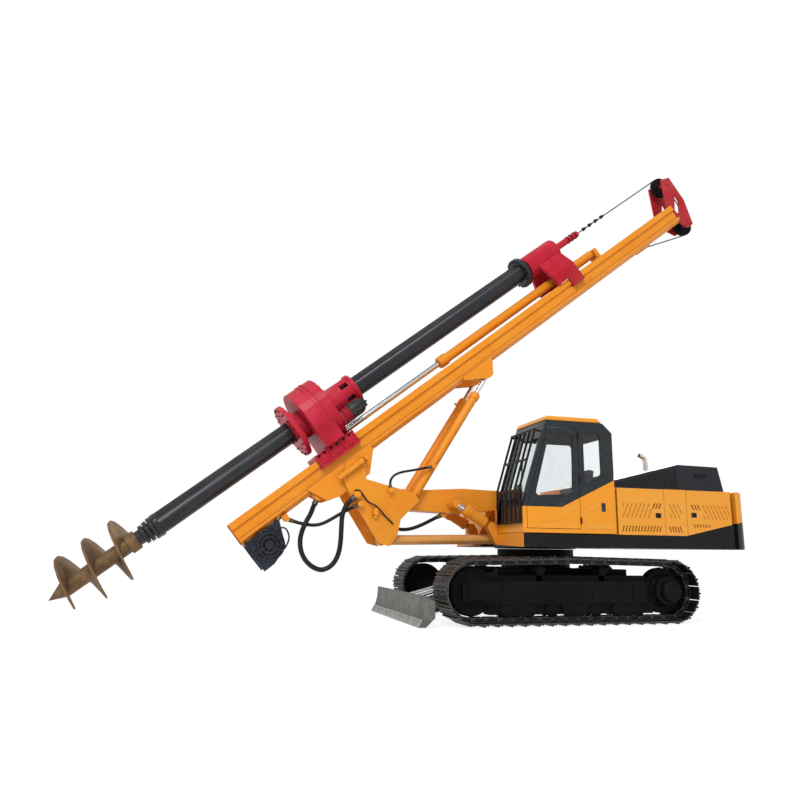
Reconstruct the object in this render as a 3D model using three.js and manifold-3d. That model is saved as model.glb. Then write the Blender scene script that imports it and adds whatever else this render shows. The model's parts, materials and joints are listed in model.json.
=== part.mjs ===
// A rotary piling rig on tracks, in millimetres, +Z up, facing -X, with the cab on its -Y side.
// The origin is the point on the ground under the slew axis.
// The mast is drawn in its own frame, x along the mast from its foot and z towards the kelly,
// and hangs in the model on its pivot pin. Rams are drawn along their own axis in the same way.
import * as THREE from "three";
import { mergeVertices } from "three/addons/utils/BufferGeometryUtils.js";
import Module from "manifold-3d";

const wasm = await Module();
wasm.setup();

// ---- Driving dimensions ----

const SEAM = 0.3; // between pieces that touch
const SWING = 6; // between pieces that move past each other
const PIN_FIT = 2; // round a pin

const TRACK = {
  gauge: 2160, // between the middles of the tracks
  width: 600, // of a shoe
  length: 4000,
  height: 920,
  crown: 30, // how far the carrier rollers lift the top run
  grouser: 30,
  band: 85, // links and plate together
  shoes: 44,
};
const TRACK_FRAME = { width: 300, low: 280, high: 600, rollers: 7, rollerRadius: 85 };
const SPROCKET = { teeth: 21, width: 60, toothDepth: 32, hubRadius: 200 };
const CAR_BODY = { low: 480, high: 760, halfLength: 560, halfWidth: 620 };
const SLEW = { radius: 600, top: 1045, gap: SWING, collar: 640 };

const BLADE = { front: -TRACK.length / 2 - 360, setBack: 130, low: 15, high: 390, plate: 28, width: 2760 };
const BLADE_ARM = { pivotX: -680, pivotZ: 470, y: 450, thick: 70, eye: 70 };
const BLADE_RAM = { baseX: -640, baseZ: 700, eyeX: BLADE.front + 205, eyeZ: 300, y: 250, barrel: 55, rod: 30 };

const PLATFORM = { front: -830, low: 1070, deck: 1120, skirtTop: 1265, halfWidth: 1350, tail: 2980 };
const SKIRT = { thick: 25, riseFrom: 1845, slope: 0.216, rear: 2700 };
const CHEEK = { y: 318, thick: 35, rear: 600 }; // the two plates that carry the boom foot
const BOOM_FOOT = { x: -350, z: 1790, radius: 140, pin: 50 };
const BOOM = { reach: 1800, drop: 40, halfWidth: 190, wall: 16, top: 1955, bottom: 1565, noseRadius: 150 };
const LINK = { x: -700, z: 1190, y: 235, radius: 72, eye: 80, pin: 40 };
const BOOM_RAM = { baseX: -935, baseZ: 1370, eyeX: -1485, eyeZ: 1703, y: 410, barrel: 90, rod: 45 };

const FRAME = { y: 350, thick: 35, pin: 45, tube: 60 }; // the three-cornered frame that holds the mast
const LUFF_RAM = { y: 270, barrel: 70, rod: 38, length: 2030 };

const MAST = {
  angle: 38.2, // degrees above level
  pivotX: BOOM_FOOT.x - BOOM.reach - 904,
  pivotZ: BOOM_FOOT.z - BOOM.drop + 437,
  pivotS: 1930, // the pivot's place along the mast
  pivotN: -420, // and behind its front face
  length: 9730,
  halfWidth: 300,
  depth: 360,
  flange: 100,
  web: 262, // half the width over the hollowed sides
  wall: 14,
};
const SADDLE = { from: 1170, to: 2330, deep: 620, thick: 38 };
const LUFF_LUG = { s: 4640, n: -490, from: 4220, to: 4830, ear: 24, notch: 170 };
const KELLY_N = 575; // the kelly's distance from the mast's front face

const KELLY = { radius: 150, bore: 118, from: -790, flangeAt: 6400, flangeRadius: 268, top: 7200 };
const STEM = { radius: 105, bore: 75, from: -1080, to: 7320, ring: 168, ringStep: 70 };
const SWIVEL = { radius: 60, to: 7880 };
const AUGER = { top: -1080, radius: 425, stem: 110, pitch: 390, turns: 2.6, flight: 26, tip: -2400 };

const SLEDGE = { from: 1530, to: 2240, plate: 68, claw: 345 };
const GEARBOX = { from: 1760, to: 2200, radius: 510, bore: 232 };
const SLEEVE = { from: 1530, flange: 430, flangeThick: 75, neck: 225, drum: 235, drumFrom: 2215, to: 2740 };
const CROWD = { n: 120, radius: 80, bore: 52, rod: 45, from: 4180, to: 7860, rodTo: 5750 };
const GUIDE = { from: 6540, to: 7250, shoeFrom: 6950, shoeTo: 7210, ring: 205 };
const WINCH = { s: 290, n: -570, drum: 150, flange: 225, y: 262, plate: 38 };
const SHEAVE = { radius: 190, width: 70, pin: 40 };
const CROWN = { y: 175, thick: 30 };

const CAB = {
  rear: 650,
  inner: -360, // the wall beside the boom
  floor: 1270,
  kneeZ: 1635,
  roofFront: -440,
  roofZ: 2900,
  capZ: 2970,
  wall: 50,
  side: 45,
};
const HOUSING = { top: 1950, sheet: 25, doorFront: 690, doorSplit: 1487, bayStart: 1873, bayEnd: 2675 };
const HOOD = { front: 680, kneeX: 1960, peak: 2370, rear: 2790, left: -1100, right: 350, sheet: 25 };
const COUNTERWEIGHT = { front: 2450, shoulder: 2715, corner: 200 };

// Free hoses. Each runs between two round bosses, and its points are chosen by hand.
// A boss on the mast or a ram is given along and above it; the others are in the model.
const HOSES = {
  loop: {
    radius: 35,
    from: { s: 1250, n: -440, y: [-290, -190], radius: 55 },
    to: { x: MAST.pivotX + 24, z: MAST.pivotZ - 397, y: [-475, -385], radius: 50 },
    route: [
      [-3602, -240, 1687],
      [-3634, -262, 1620],
      [-3690, -355, 1500],
      [-3765, -428, 1370],
      [-3815, -435, 1240],
      [-3834, -435, 1110],
      [-3812, -435, 970],
      [-3750, -435, 855],
      [-3650, -435, 765],
      [-3522, -435, 722],
      [-3400, -435, 765],
      [-3318, -435, 862],
      [-3272, -435, 990],
      [-3254, -435, 1150],
      [-3249, -432, 1320],
      [-3238, -430, 1490],
      [-3180, -430, 1640],
      [-3066, -430, 1754],
    ],
  },
  sag: {
    radius: 25,
    from: { s: 700, n: -420, y: [-290, -190], radius: 45 },
    to: { x: MAST.pivotX + 79, z: MAST.pivotZ - 532, y: [-470, -385], radius: 45 },
    route: [
      [-3974, -240, 1411],
      [-3915, -252, 1393],
      [-3838, -285, 1370],
      [-3750, -318, 1352],
      [-3655, -328, 1342],
      [-3560, -336, 1352],
      [-3470, -342, 1385],
      [-3380, -348, 1435],
      [-3290, -356, 1490],
      [-3200, -361, 1543],
      [-3108, -396, 1594],
      [-3025, -428, 1633],
    ],
  },
  ram: {
    radius: 18,
    from: { x: MAST.pivotX + 535, z: MAST.pivotZ - 319, y: [-455, -385], radius: 40 },
    to: { along: 600, y: [-155, -52], radius: 40 }, // across the ram's own line
    route: [
      [-2521, -420, 1909],
      [-2530, -420, 1970],
      [-2516, -420, 2035],
      [-2466, -418, 2095],
      [-2388, -414, 2135],
      [-2298, -408, 2160],
      [-2200, -400, 2180],
      [-2092, -393, 2203],
      [-1984, -390, 2227],
      [-1874, -390, 2251],
    ],
  },
  boom: {
    radius: 27,
    from: { x: MAST.pivotX + 494, z: MAST.pivotZ - 767, y: [-150, -50], radius: 75 },
    to: { x: BOOM_FOOT.x - BOOM.reach + 550, z: BOOM_FOOT.z - 240, y: [-150, -50], radius: 45 },
    route: [
      [-2493, -100, 1385],
      [-2415, -100, 1345],
      [-2310, -100, 1318],
      [-2200, -100, 1313],
      [-2090, -100, 1332],
      [-1985, -100, 1368],
      [-1880, -100, 1415],
      [-1780, -100, 1465],
      [-1705, -100, 1503],
      [-1641, -100, 1531],
    ],
  },
};

// ---- Solids: each closed geometry becomes one that can be joined and cut ----

function solid(geometry) {
  const bare = geometry.index ? geometry.toNonIndexed() : geometry.clone();
  bare.deleteAttribute("normal");
  bare.deleteAttribute("uv");
  const merged = mergeVertices(bare, 1e-3);
  const vertProperties = merged.attributes.position.array;
  const triVerts = new Uint32Array(merged.index.array);
  return new wasm.Manifold(new wasm.Mesh({ numProp: 3, vertProperties, triVerts }));
}

function geometryOf(manifold) {
  const { vertProperties, triVerts } = manifold.getMesh();
  const geometry = new THREE.BufferGeometry();
  geometry.setAttribute("position", new THREE.BufferAttribute(vertProperties, 3));
  geometry.setIndex(new THREE.BufferAttribute(triVerts, 1));
  geometry.computeVertexNormals();
  return geometry;
}

const join = (...solids) => solids.reduce((whole, next) => whole.add(next));
const cut = (whole, ...tools) => tools.reduce((rest, tool) => rest.subtract(tool), whole);
const degrees = (angle) => (angle * Math.PI) / 180;

function block([x0, x1], [y0, y1], [z0, z1]) {
  const box = new THREE.BoxGeometry(x1 - x0, y1 - y0, z1 - z0);
  return solid(box.translate((x0 + x1) / 2, (y0 + y1) / 2, (z0 + z1) / 2));
}

function extruded(outline, depth, holes = []) {
  const points = outline.map(([u, v]) => new THREE.Vector2(u, v));
  if (THREE.ShapeUtils.isClockWise(points)) points.reverse();
  const shape = new THREE.Shape(points);
  for (const hole of holes) shape.holes.push(new THREE.Path(hole.map(([u, v]) => new THREE.Vector2(u, v))));
  return new THREE.ExtrudeGeometry(shape, { depth, bevelEnabled: false });
}

// An outline in x and z, as thick as the span in y.
function sidePlate(outline, [y0, y1], holes) {
  return solid(extruded(outline, y1 - y0, holes).rotateX(Math.PI / 2).translate(0, y1, 0));
}

// An outline in x and y, as thick as the span in z.
function floorPlate(outline, [z0, z1]) {
  return solid(extruded(outline, z1 - z0).translate(0, 0, z0));
}

// An outline in y and z, as long as the span in x.
function profileAlong(outline, [x0, x1], holes) {
  const turned = extruded(outline, x1 - x0, holes).rotateX(Math.PI / 2).rotateZ(Math.PI / 2);
  return solid(turned.translate(x0, 0, 0));
}

// Round bars along y, z and x.
function across(radius, [y0, y1], x, z, sides = 16) {
  return solid(new THREE.CylinderGeometry(radius, radius, y1 - y0, sides).translate(x, (y0 + y1) / 2, z));
}

function upright(radius, [z0, z1], x, y, sides = 24) {
  const bar = new THREE.CylinderGeometry(radius, radius, z1 - z0, sides).rotateX(Math.PI / 2);
  return solid(bar.translate(x, y, (z0 + z1) / 2));
}

function lengthwise(radius, [x0, x1], y, z, sides = 16) {
  const bar = new THREE.CylinderGeometry(radius, radius, x1 - x0, sides).rotateZ(-Math.PI / 2);
  return solid(bar.translate((x0 + x1) / 2, y, z));
}

// A profile of [x, radius] points turned about the line at y and z that runs along x.
// A ring's profile closes on itself; any other starts and ends on the axis.
function turned(profile, y, z, sides = 20) {
  const points = profile.map(([x, radius]) => new THREE.Vector2(radius, x));
  if (THREE.ShapeUtils.area(points) < 0) points.reverse();
  if (profile.every(([, radius]) => radius > 0)) points.push(points[0].clone());
  return solid(new THREE.LatheGeometry(points, sides).rotateZ(-Math.PI / 2).translate(0, y, z));
}

const mirrored = (outline) => outline.map(([y, z]) => [-y, z]).reverse();
const bothWays = (outline) => [...outline, ...mirrored(outline)];
const bothSides = (make) => join(make(-1), make(1));
const span = (side, inner, outer) => (side < 0 ? [-outer, -inner] : [inner, outer]);

// A convex outline, listed anticlockwise, drawn in by the same margin all round.
function inset(outline, margin) {
  const count = outline.length;
  const edges = outline.map(([x, z], i) => {
    const [nextX, nextZ] = outline[(i + 1) % count];
    const length = Math.hypot(nextX - x, nextZ - z);
    const inward = [-(nextZ - z) / length, (nextX - x) / length];
    return { x: x + inward[0] * margin, z: z + inward[1] * margin, dx: nextX - x, dz: nextZ - z };
  });
  return edges.map((edge, i) => {
    const before = edges[(i + count - 1) % count];
    const bend = before.dx * edge.dz - before.dz * edge.dx;
    const reach = ((edge.x - before.x) * edge.dz - (edge.z - before.z) * edge.dx) / bend;
    return [before.x + before.dx * reach, before.z + before.dz * reach];
  });
}

// ---- Materials ----

const paint = (color, roughness = 0.45, metalness = 0.1) =>
  new THREE.MeshStandardMaterial({ color, roughness, metalness });
const yellow = paint(0xf0a31c);
const orange = paint(0xe8821a);
const red = paint(0xc5202b);
const navy = paint(0x14161d, 0.3);
const dark = paint(0x2a2a2c, 0.7);
const steel = paint(0x9a9894, 0.4, 0.8);
const chrome = paint(0xd8d8d8, 0.1, 1);
const earth = paint(0x8a5f43, 0.9);
const rubber = paint(0x151517, 0.6);
const glazing = paint(0x8fa3ad, 0.05);

const rig = new THREE.Group();

function add(name, shape, material, group = rig) {
  const mesh = new THREE.Mesh(geometryOf(shape), material);
  mesh.name = name;
  group.add(mesh);
}

const sideName = (side) => (side < 0 ? "left" : "right");

// ---- Undercarriage ----

const trackCentre = TRACK.height / 2;
const plateRadius = trackCentre - TRACK.grouser;
const wheelX = TRACK.length / 2 - trackCentre;

// The line of the shoe plates, or of anything drawn in from it, round both end wheels.
function trackPath(drawnIn) {
  const radius = plateRadius - drawnIn;
  const path = new THREE.Path();
  path.absarc(wheelX, trackCentre, radius, -Math.PI / 2, Math.PI / 2, false);
  path.lineTo(0, trackCentre + radius + TRACK.crown);
  path.absarc(-wheelX, trackCentre, radius, Math.PI / 2, 1.5 * Math.PI, false);
  path.closePath();
  return path;
}

// The shoes' outline: a flat plate with one grouser across it, again and again.
function shoeOutline() {
  const path = trackPath(0);
  const profile = [
    [0.38, 0],
    [0.45, TRACK.grouser],
    [0.55, TRACK.grouser],
    [0.62, 0],
  ];
  const points = [];
  for (let shoe = 0; shoe < TRACK.shoes; shoe++) {
    for (const [share, height] of profile) {
      const place = (shoe + share) / TRACK.shoes;
      const point = path.getPoint(place);
      const heading = path.getTangent(place);
      points.push([point.x + heading.y * height, Math.max(0, point.y - heading.x * height)]);
    }
  }
  return points;
}

function track(side) {
  const middle = (side * TRACK.gauge) / 2;
  const inside = trackPath(TRACK.band)
    .getPoints(9)
    .slice(0, -1)
    .map((point) => [point.x, point.y]);
  return sidePlate(shoeOutline(), [middle - TRACK.width / 2, middle + TRACK.width / 2], [inside]);
}

const innerRadius = plateRadius - TRACK.band;

function trackFrame(side) {
  const middle = (side * TRACK.gauge) / 2;
  const half = TRACK_FRAME.width / 2;
  const { low, high, rollerRadius } = TRACK_FRAME;
  const wide = [middle - half, middle + half];
  const narrow = [middle - half + 50, middle + half - 50];
  const driveEnd = wheelX - innerRadius - 10;
  const noseX = -wheelX - 160;
  const beam = sidePlate(
    [
      [noseX, low + 50],
      [-wheelX + 390, low],
      [driveEnd - 40, low],
      [driveEnd, low + 50],
      [driveEnd, high - 40],
      [driveEnd - 90, high],
      [-wheelX + 390, high],
      [noseX, high - 40],
    ],
    wide,
  );
  const rollers = [];
  const rollerZ = trackCentre - plateRadius + TRACK.band + 5 + rollerRadius;
  const reach = wheelX - innerRadius - 150;
  for (let i = 0; i < TRACK_FRAME.rollers; i++) {
    const x = -reach + (2 * reach * i) / (TRACK_FRAME.rollers - 1);
    rollers.push(across(rollerRadius, narrow, x, rollerZ, 10));
    rollers.push(block([x - 40, x + 40], narrow, [rollerZ, low + 20]));
  }
  for (const x of [-500, 500]) {
    const carrierZ = trackCentre + innerRadius - 56;
    rollers.push(across(62, narrow, x, carrierZ, 10));
    rollers.push(block([x - 40, x + 40], [middle - 40, middle + 40], [high - 20, carrierZ]));
  }
  const idler = across(innerRadius - 12, narrow, -wheelX, trackCentre, 24);
  const inwards = span(side, TRACK.gauge / 2 - half, TRACK.gauge / 2 - half + 50);
  const motorPlate = block([driveEnd - 60, wheelX + 170], inwards, [low + 20, high]);
  return join(beam, idler, motorPlate, ...rollers);
}

function sprocket(side) {
  const middle = TRACK.gauge / 2;
  const outer = innerRadius - 6;
  const rim = [];
  for (let i = 0; i < SPROCKET.teeth; i++) {
    for (const [share, depth] of [
      [0, SPROCKET.toothDepth],
      [0.35, 0],
      [0.65, 0],
    ]) {
      const angle = ((i + share) / SPROCKET.teeth) * 2 * Math.PI;
      const radius = outer - depth;
      rim.push([wheelX + radius * Math.cos(angle), trackCentre + radius * Math.sin(angle)]);
    }
  }
  const disc = sidePlate(rim, span(side, middle - SPROCKET.width / 2, middle + SPROCKET.width / 2));
  const inner = middle - TRACK_FRAME.width / 2 + 50 + SEAM;
  const outerFace = middle + TRACK.width / 2 - 5;
  const hub = across(SPROCKET.hubRadius, span(side, inner, outerFace - 60), wheelX, trackCentre, 20);
  const cap = across(SPROCKET.hubRadius - 40, span(side, inner, outerFace), wheelX, trackCentre, 16);
  return join(disc, hub, cap);
}

// A rod's eye is as wide as the rod, and its clevis a little wider.
const eyeWidth = ({ rod }) => 2 * rod + 6;
const eyeGap = (ram) => eyeWidth(ram) + 8;

const frameInnerY = TRACK.gauge / 2 - TRACK_FRAME.width / 2 - SEAM;

// Two ears with a gap between them for an eye.
function pairOfEars(side, outline, y, gap, ear) {
  return join(
    sidePlate(outline, span(side, y - gap / 2 - ear, y - gap / 2)),
    sidePlate(outline, span(side, y + gap / 2, y + gap / 2 + ear)),
  );
}

// Ears with a pin between them; the eye in the gap turns on the pin.
function clevis(side, outline, y, gap, ear, pinX, pinZ, pinRadius) {
  const pin = across(pinRadius, span(side, y - gap / 2 - ear, y + gap / 2 + ear), pinX, pinZ);
  return join(pairOfEars(side, outline, y, gap, ear), pin);
}

function carBody() {
  const { low, high, halfLength, halfWidth } = CAR_BODY;
  const quarter = [
    [halfLength, -540],
    [1050, -780],
    [1050, -frameInnerY],
    [620, -frameInnerY],
    [440, -halfWidth],
  ];
  const outline = [...quarter.map(([x, y]) => [-x, y]), ...quarter.slice().reverse()];
  const whole = [...outline, ...outline.map(([x, y]) => [-x, -y])];
  const parts = [
    floorPlate(whole, [low, high]),
    upright(SLEW.radius - 60, [high - 40, 900], 0, 0),
    upright(SLEW.radius, [880, SLEW.top], 0, 0),
  ];
  const { pivotX, pivotZ, eye, thick, y } = BLADE_ARM;
  const armEar = [
    [-halfLength + 20, low],
    [-halfLength + 20, pivotZ + eye],
    [pivotX - eye, pivotZ + eye],
    [pivotX - eye, pivotZ - eye],
    [pivotX + 60, pivotZ - eye],
  ];
  const ramEar = [
    [-halfLength + 20, high - 120],
    [-halfLength + 20, high],
    [BLADE_RAM.baseX - 50, high],
    [BLADE_RAM.baseX - 60, BLADE_RAM.baseZ - 60],
    [BLADE_RAM.baseX + 40, BLADE_RAM.baseZ - 60],
  ];
  for (const side of [-1, 1]) {
    parts.push(clevis(side, armEar, y, thick + 12, 30, pivotX, pivotZ, 30));
    parts.push(clevis(side, ramEar, BLADE_RAM.y, 66, 25, BLADE_RAM.baseX, BLADE_RAM.baseZ, 25));
  }
  return join(...parts);
}

function blade() {
  const { front, setBack, low, high, plate, width } = BLADE;
  const back = front + setBack;
  const sweep = new THREE.QuadraticBezierCurve(
    new THREE.Vector2(front, low),
    new THREE.Vector2(back - 10, (low + high) / 2 - 60),
    new THREE.Vector2(back - 20, high),
  );
  const face = sweep.getPoints(8).map((point) => [point.x, point.y]);
  const outline = [...face, ...face.map(([x, z]) => [x + plate, z]).reverse()];
  const endPlate = [...face, [back + 90, high - 40], [back + 90, low + 120], [front + 90, low]];
  const mouldboard = sidePlate(outline, [-width / 2, width / 2]);
  const ends = bothSides((side) => sidePlate(endPlate, span(side, width / 2 - 22, width / 2)));
  const arm = [
    [back - 20, low + 90],
    [back + 300, low + 160],
    [BLADE_ARM.pivotX, BLADE_ARM.pivotZ - BLADE_ARM.eye + 10],
    [BLADE_ARM.pivotX, BLADE_ARM.pivotZ + BLADE_ARM.eye - 10],
    [back + 300, low + 310],
    [back - 10, low + 270],
  ];
  const arms = bothSides((side) => {
    const thick = span(side, BLADE_ARM.y - BLADE_ARM.thick / 2, BLADE_ARM.y + BLADE_ARM.thick / 2);
    const eye = across(BLADE_ARM.eye, thick, BLADE_ARM.pivotX, BLADE_ARM.pivotZ);
    const hole = across(30 + PIN_FIT, thick, BLADE_ARM.pivotX, BLADE_ARM.pivotZ, 16);
    return cut(join(sidePlate(arm, thick), eye), hole);
  });
  const ear = [
    [back - 8, BLADE_RAM.eyeZ - 90],
    [BLADE_RAM.eyeX + 40, BLADE_RAM.eyeZ - 40],
    [BLADE_RAM.eyeX + 40, BLADE_RAM.eyeZ + 40],
    [back - 8, BLADE_RAM.eyeZ + 60],
  ];
  const ears = bothSides((side) =>
    pairOfEars(side, ear, BLADE_RAM.y, eyeGap(BLADE_RAM), 22),
  );
  return join(mouldboard, ends, arms, ears);
}

// ---- Rams: a barrel and its rod, drawn along x from the base pin at the origin ----

function ramBarrel({ radius, bore, length, eye, width, pin }) {
  const tube = lengthwise(radius, [eye + 45, length], 0, 0, 12);
  const gland = lengthwise(radius + 12, [length - 110, length], 0, 0, 12);
  const neck = block([0, eye + 55], [-width / 2, width / 2], [-eye * 0.7, eye * 0.7]);
  const ring = across(eye, [-width / 2, width / 2], 0, 0, 12);
  const hollow = lengthwise(bore, [eye + 90, length + 10], 0, 0, 12);
  const hole = across(pin + PIN_FIT, [-width, width], 0, 0, 12);
  return cut(join(tube, gland, neck, ring), hollow, hole);
}

// The rod's eye carries its own pin, so it is solid from side to side.
function ramRod({ rod, eye, reach, overlap }) {
  const width = [-eyeWidth({ rod }) / 2, eyeWidth({ rod }) / 2];
  const bar = lengthwise(rod, [reach - overlap, reach - eye * 0.6], 0, 0, 12);
  return join(bar, across(eye, width, reach, 0));
}

function addRam(name, side, from, to, y, size, barrelBoss) {
  const group = new THREE.Group();
  group.position.set(from.x, side * y, from.z);
  group.rotation.y = -Math.atan2(to.z - from.z, to.x - from.x);
  rig.add(group);
  const reach = Math.hypot(to.x - from.x, to.z - from.z);
  const body = { ...size, bore: size.rod + SWING + 2, reach };
  const barrel = barrelBoss ? join(ramBarrel(body), barrelBoss) : ramBarrel(body);
  add(`${name}_barrel_${sideName(side)}`, barrel, size.colour, group);
  add(`${name}_rod_${sideName(side)}`, ramRod(body), chrome, group);
}

// ---- Upper works ----

const deckHalf = PLATFORM.halfWidth - SKIRT.thick + 5;
const skirtTopAt = (x) => PLATFORM.skirtTop - 10 + Math.max(0, x - SKIRT.riseFrom) * SKIRT.slope;

function platform() {
  const { front, low, deck, skirtTop, halfWidth } = PLATFORM;
  const skirt = [
    [front + 10, low],
    [SKIRT.rear, low],
    [SKIRT.rear, skirtTopAt(SKIRT.rear)],
    [SKIRT.riseFrom, skirtTop - 10],
    [front + 10, skirtTop - 10],
  ];
  const cheek = [
    [front + 20, low + 20],
    [CHEEK.rear, low + 20],
    [CHEEK.rear, 1330],
    [BOOM_FOOT.x + 190, BOOM_FOOT.z + 40],
    [BOOM_FOOT.x + 80, BOOM_FOOT.z + 130],
    [BOOM_FOOT.x - 80, BOOM_FOOT.z + 130],
    [BOOM_FOOT.x - 170, BOOM_FOOT.z],
    [front + 20, 1310],
  ];
  const ramEar = [
    [front + 15, low + 30],
    [front + 15, skirtTop - 10],
    [front - 5, skirtTop + 5],
    [front - 5, 1340],
    [BOOM_RAM.baseX + 35, BOOM_RAM.baseZ + 70],
    [BOOM_RAM.baseX - 35, BOOM_RAM.baseZ + 70],
    [BOOM_RAM.baseX - 75, BOOM_RAM.baseZ],
    [BOOM_RAM.baseX - 35, BOOM_RAM.baseZ - 75],
    [front - 40, low + 30],
  ];
  const cheekY = [CHEEK.y, CHEEK.y + CHEEK.thick];
  const linkSlot = block([front - 10, LINK.x + 120], [-CHEEK.y, CHEEK.y], [low + 15, skirtTop + 10]);
  const floor = join(
    block([front + 120, SKIRT.rear], [-deckHalf, deckHalf], [low, deck]),
    block([front, front + 140], [-halfWidth, halfWidth], [low, skirtTop]),
  );
  return join(
    cut(floor, linkSlot),
    upright(SLEW.collar, [SLEW.top + SLEW.gap, low + 20], 0, 0),
    bothSides((side) => sidePlate(skirt, span(side, halfWidth - SKIRT.thick, halfWidth))),
    bothSides((side) => sidePlate(cheek, span(side, ...cheekY))),
    bothSides((side) => clevis(side, ramEar, BOOM_RAM.y, 76, 20, BOOM_RAM.baseX, BOOM_RAM.baseZ, 35)),
    across(BOOM_FOOT.pin, [-cheekY[1], cheekY[1]], BOOM_FOOT.x, BOOM_FOOT.z),
    across(LINK.pin, [-cheekY[1], cheekY[1]], LINK.x, LINK.z, 16),
  );
}

// ---- Hoses ----

const boss = ({ x, z, y, radius }) => across(radius, y, x, z);

function hose({ radius, route }) {
  const line = new THREE.CatmullRomCurve3(route.map((point) => new THREE.Vector3(...point)));
  const steps = Math.round(line.getLength() / (5 * radius));
  const section = new THREE.Shape().absarc(0, 0, radius, 0, 2 * Math.PI, false);
  return solid(new THREE.ExtrudeGeometry(section, { steps, curveSegments: 5, extrudePath: line }));
}

// ---- Cab ----

// The slope of the screen, and a point on it or set in from it.
const screenSlope = (CAB.roofFront - PLATFORM.front) / (CAB.roofZ - CAB.kneeZ);
const screenX = (z, setIn = 0) => PLATFORM.front + (z - CAB.kneeZ) * screenSlope + setIn;

const cabOutline = [
  [PLATFORM.front, CAB.floor],
  [CAB.rear, CAB.floor],
  [CAB.rear, CAB.roofZ - 140],
  [CAB.rear - 150, CAB.roofZ],
  [CAB.roofFront, CAB.roofZ],
  [PLATFORM.front, CAB.kneeZ],
];
const DOOR = { rear: 80, low: CAB.floor + 60, high: CAB.roofZ - 100, pillar: 60 };
const doorHole = [
  [PLATFORM.front + DOOR.pillar, DOOR.low],
  [DOOR.rear, DOOR.low],
  [DOOR.rear, DOOR.high],
  [screenX(DOOR.high, DOOR.pillar), DOOR.high],
  [screenX(CAB.kneeZ, DOOR.pillar), CAB.kneeZ],
];
const doorWindow = [
  [screenX(1767, 118), 1767],
  [-15, 1810],
  [20, DOOR.high - 50],
  [screenX(DOOR.high - 60, 90), DOOR.high - 60],
];
const quarterWindow = [
  [140, 1960],
  [467, 2115],
  [467, DOOR.high - 60],
  [140, DOOR.high - 50],
];
const innerWindow = [
  [screenX(1800, 120), 1800],
  [CAB.rear - 110, 1800],
  [CAB.rear - 110, 2720],
  [screenX(2720, 120), 2720],
];
const SCREEN = { low: 1690, high: 2800, edge: 60 };
const REAR_WINDOW = { y: [-1250, -460], z: [2150, 2700] };
const cabY = [-PLATFORM.halfWidth, CAB.inner];
const roomY = [cabY[0] + CAB.side, cabY[1] - CAB.side];
const screenY = [cabY[0] + SCREEN.edge, cabY[1] - SCREEN.edge];

function cabShell() {
  const screen = [
    [screenX(SCREEN.low, -60), SCREEN.low],
    [screenX(SCREEN.low, CAB.wall + 40), SCREEN.low],
    [screenX(SCREEN.high, CAB.wall + 40), SCREEN.high],
    [screenX(SCREEN.high, -60), SCREEN.high],
  ];
  const leftWall = [cabY[0] - 10, roomY[0] + 10];
  const rightWall = [roomY[1] - 10, cabY[1] + 10];
  return cut(
    sidePlate(cabOutline, cabY),
    sidePlate(inset(cabOutline, CAB.wall), roomY),
    sidePlate(screen, screenY),
    sidePlate(doorHole, leftWall),
    sidePlate(quarterWindow, leftWall),
    sidePlate(innerWindow, rightWall),
    block([CAB.rear - CAB.wall - 10, CAB.rear + 10], REAR_WINDOW.y, REAR_WINDOW.z),
  );
}

function cabRoof() {
  const outline = [
    [CAB.roofFront - 15, CAB.roofZ + SEAM],
    [CAB.rear - 155, CAB.roofZ + SEAM],
    [CAB.rear - 230, CAB.capZ],
    [CAB.roofFront + 25, CAB.capZ],
  ];
  return sidePlate(outline, [cabY[0] + 5, cabY[1] - 5]);
}

function windscreen() {
  const low = SCREEN.low + 4;
  const high = SCREEN.high - 4;
  const pane = [
    [screenX(low, 20), low],
    [screenX(low, 28), low],
    [screenX(high, 28), high],
    [screenX(high, 20), high],
  ];
  return sidePlate(pane, [screenY[0] + 4, screenY[1] - 4]);
}

const pane = (outline, y) => sidePlate(inset(outline, 3), [y - 4, y + 4]);
const glassY = cabY[0] + 22;

function cabDoor() {
  const panel = sidePlate(inset(doorHole, SWING), [cabY[0], roomY[0]]);
  return cut(panel, sidePlate(doorWindow, [cabY[0] - 10, roomY[0] + 10]));
}

function operatorSeat() {
  const middle = (cabY[0] + cabY[1]) / 2;
  const floor = CAB.floor + CAB.wall + SEAM;
  const y = (half) => [middle - half, middle + half];
  const back = [
    [250, floor + 260],
    [360, floor + 240],
    [480, floor + 900],
    [400, floor + 920],
  ];
  const lever = (side) => upright(14, [floor + 400, floor + 560], -60, middle + side * 290, 12);
  return join(
    block([20, 300], y(190), [floor, floor + 180]),
    block([-140, 360], y(240), [floor + 170, floor + 310]),
    sidePlate(back, y(230)),
    bothSides((side) =>
      block([-120, 300], [middle + side * 290 - 60, middle + side * 290 + 60], [floor + 150, floor + 410]),
    ),
    bothSides(lever),
  );
}

const GUARD = {
  x: PLATFORM.front - 45, // stands off the cab's front
  bend: 1900, // above here it leans back like the windscreen
  lean: 268,
  thick: 30,
  y: [-1330, -515],
  z: [1395, 2770],
  bar: 30,
  uprights: 6,
  rails: 4,
};

function guardX(z) {
  const above = Math.max(0, z - GUARD.bend);
  return GUARD.x + (GUARD.lean * above) / (GUARD.z[1] - GUARD.bend);
}

function frontGuard() {
  const { bend, thick, y, z, bar, uprights, rails } = GUARD;
  const edge = [z[0], bend, z[1]].map((height) => [guardX(height), height]);
  const back = edge.map(([x, height]) => [x + thick, height]).reverse();
  const bars = [];
  for (let i = 0; i < uprights; i++) {
    const at = y[0] + ((y[1] - y[0] - bar) * i) / (uprights - 1);
    bars.push(sidePlate([...edge, ...back], [at, at + bar]));
  }
  for (let i = 0; i < rails; i++) {
    const at = z[0] + ((z[1] - z[0] - bar) * i) / (rails - 1);
    const x = guardX(at);
    bars.push(block([x, x + thick], y, [at, at + bar]));
  }
  return join(...bars);
}

// ---- Engine house ----

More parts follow.
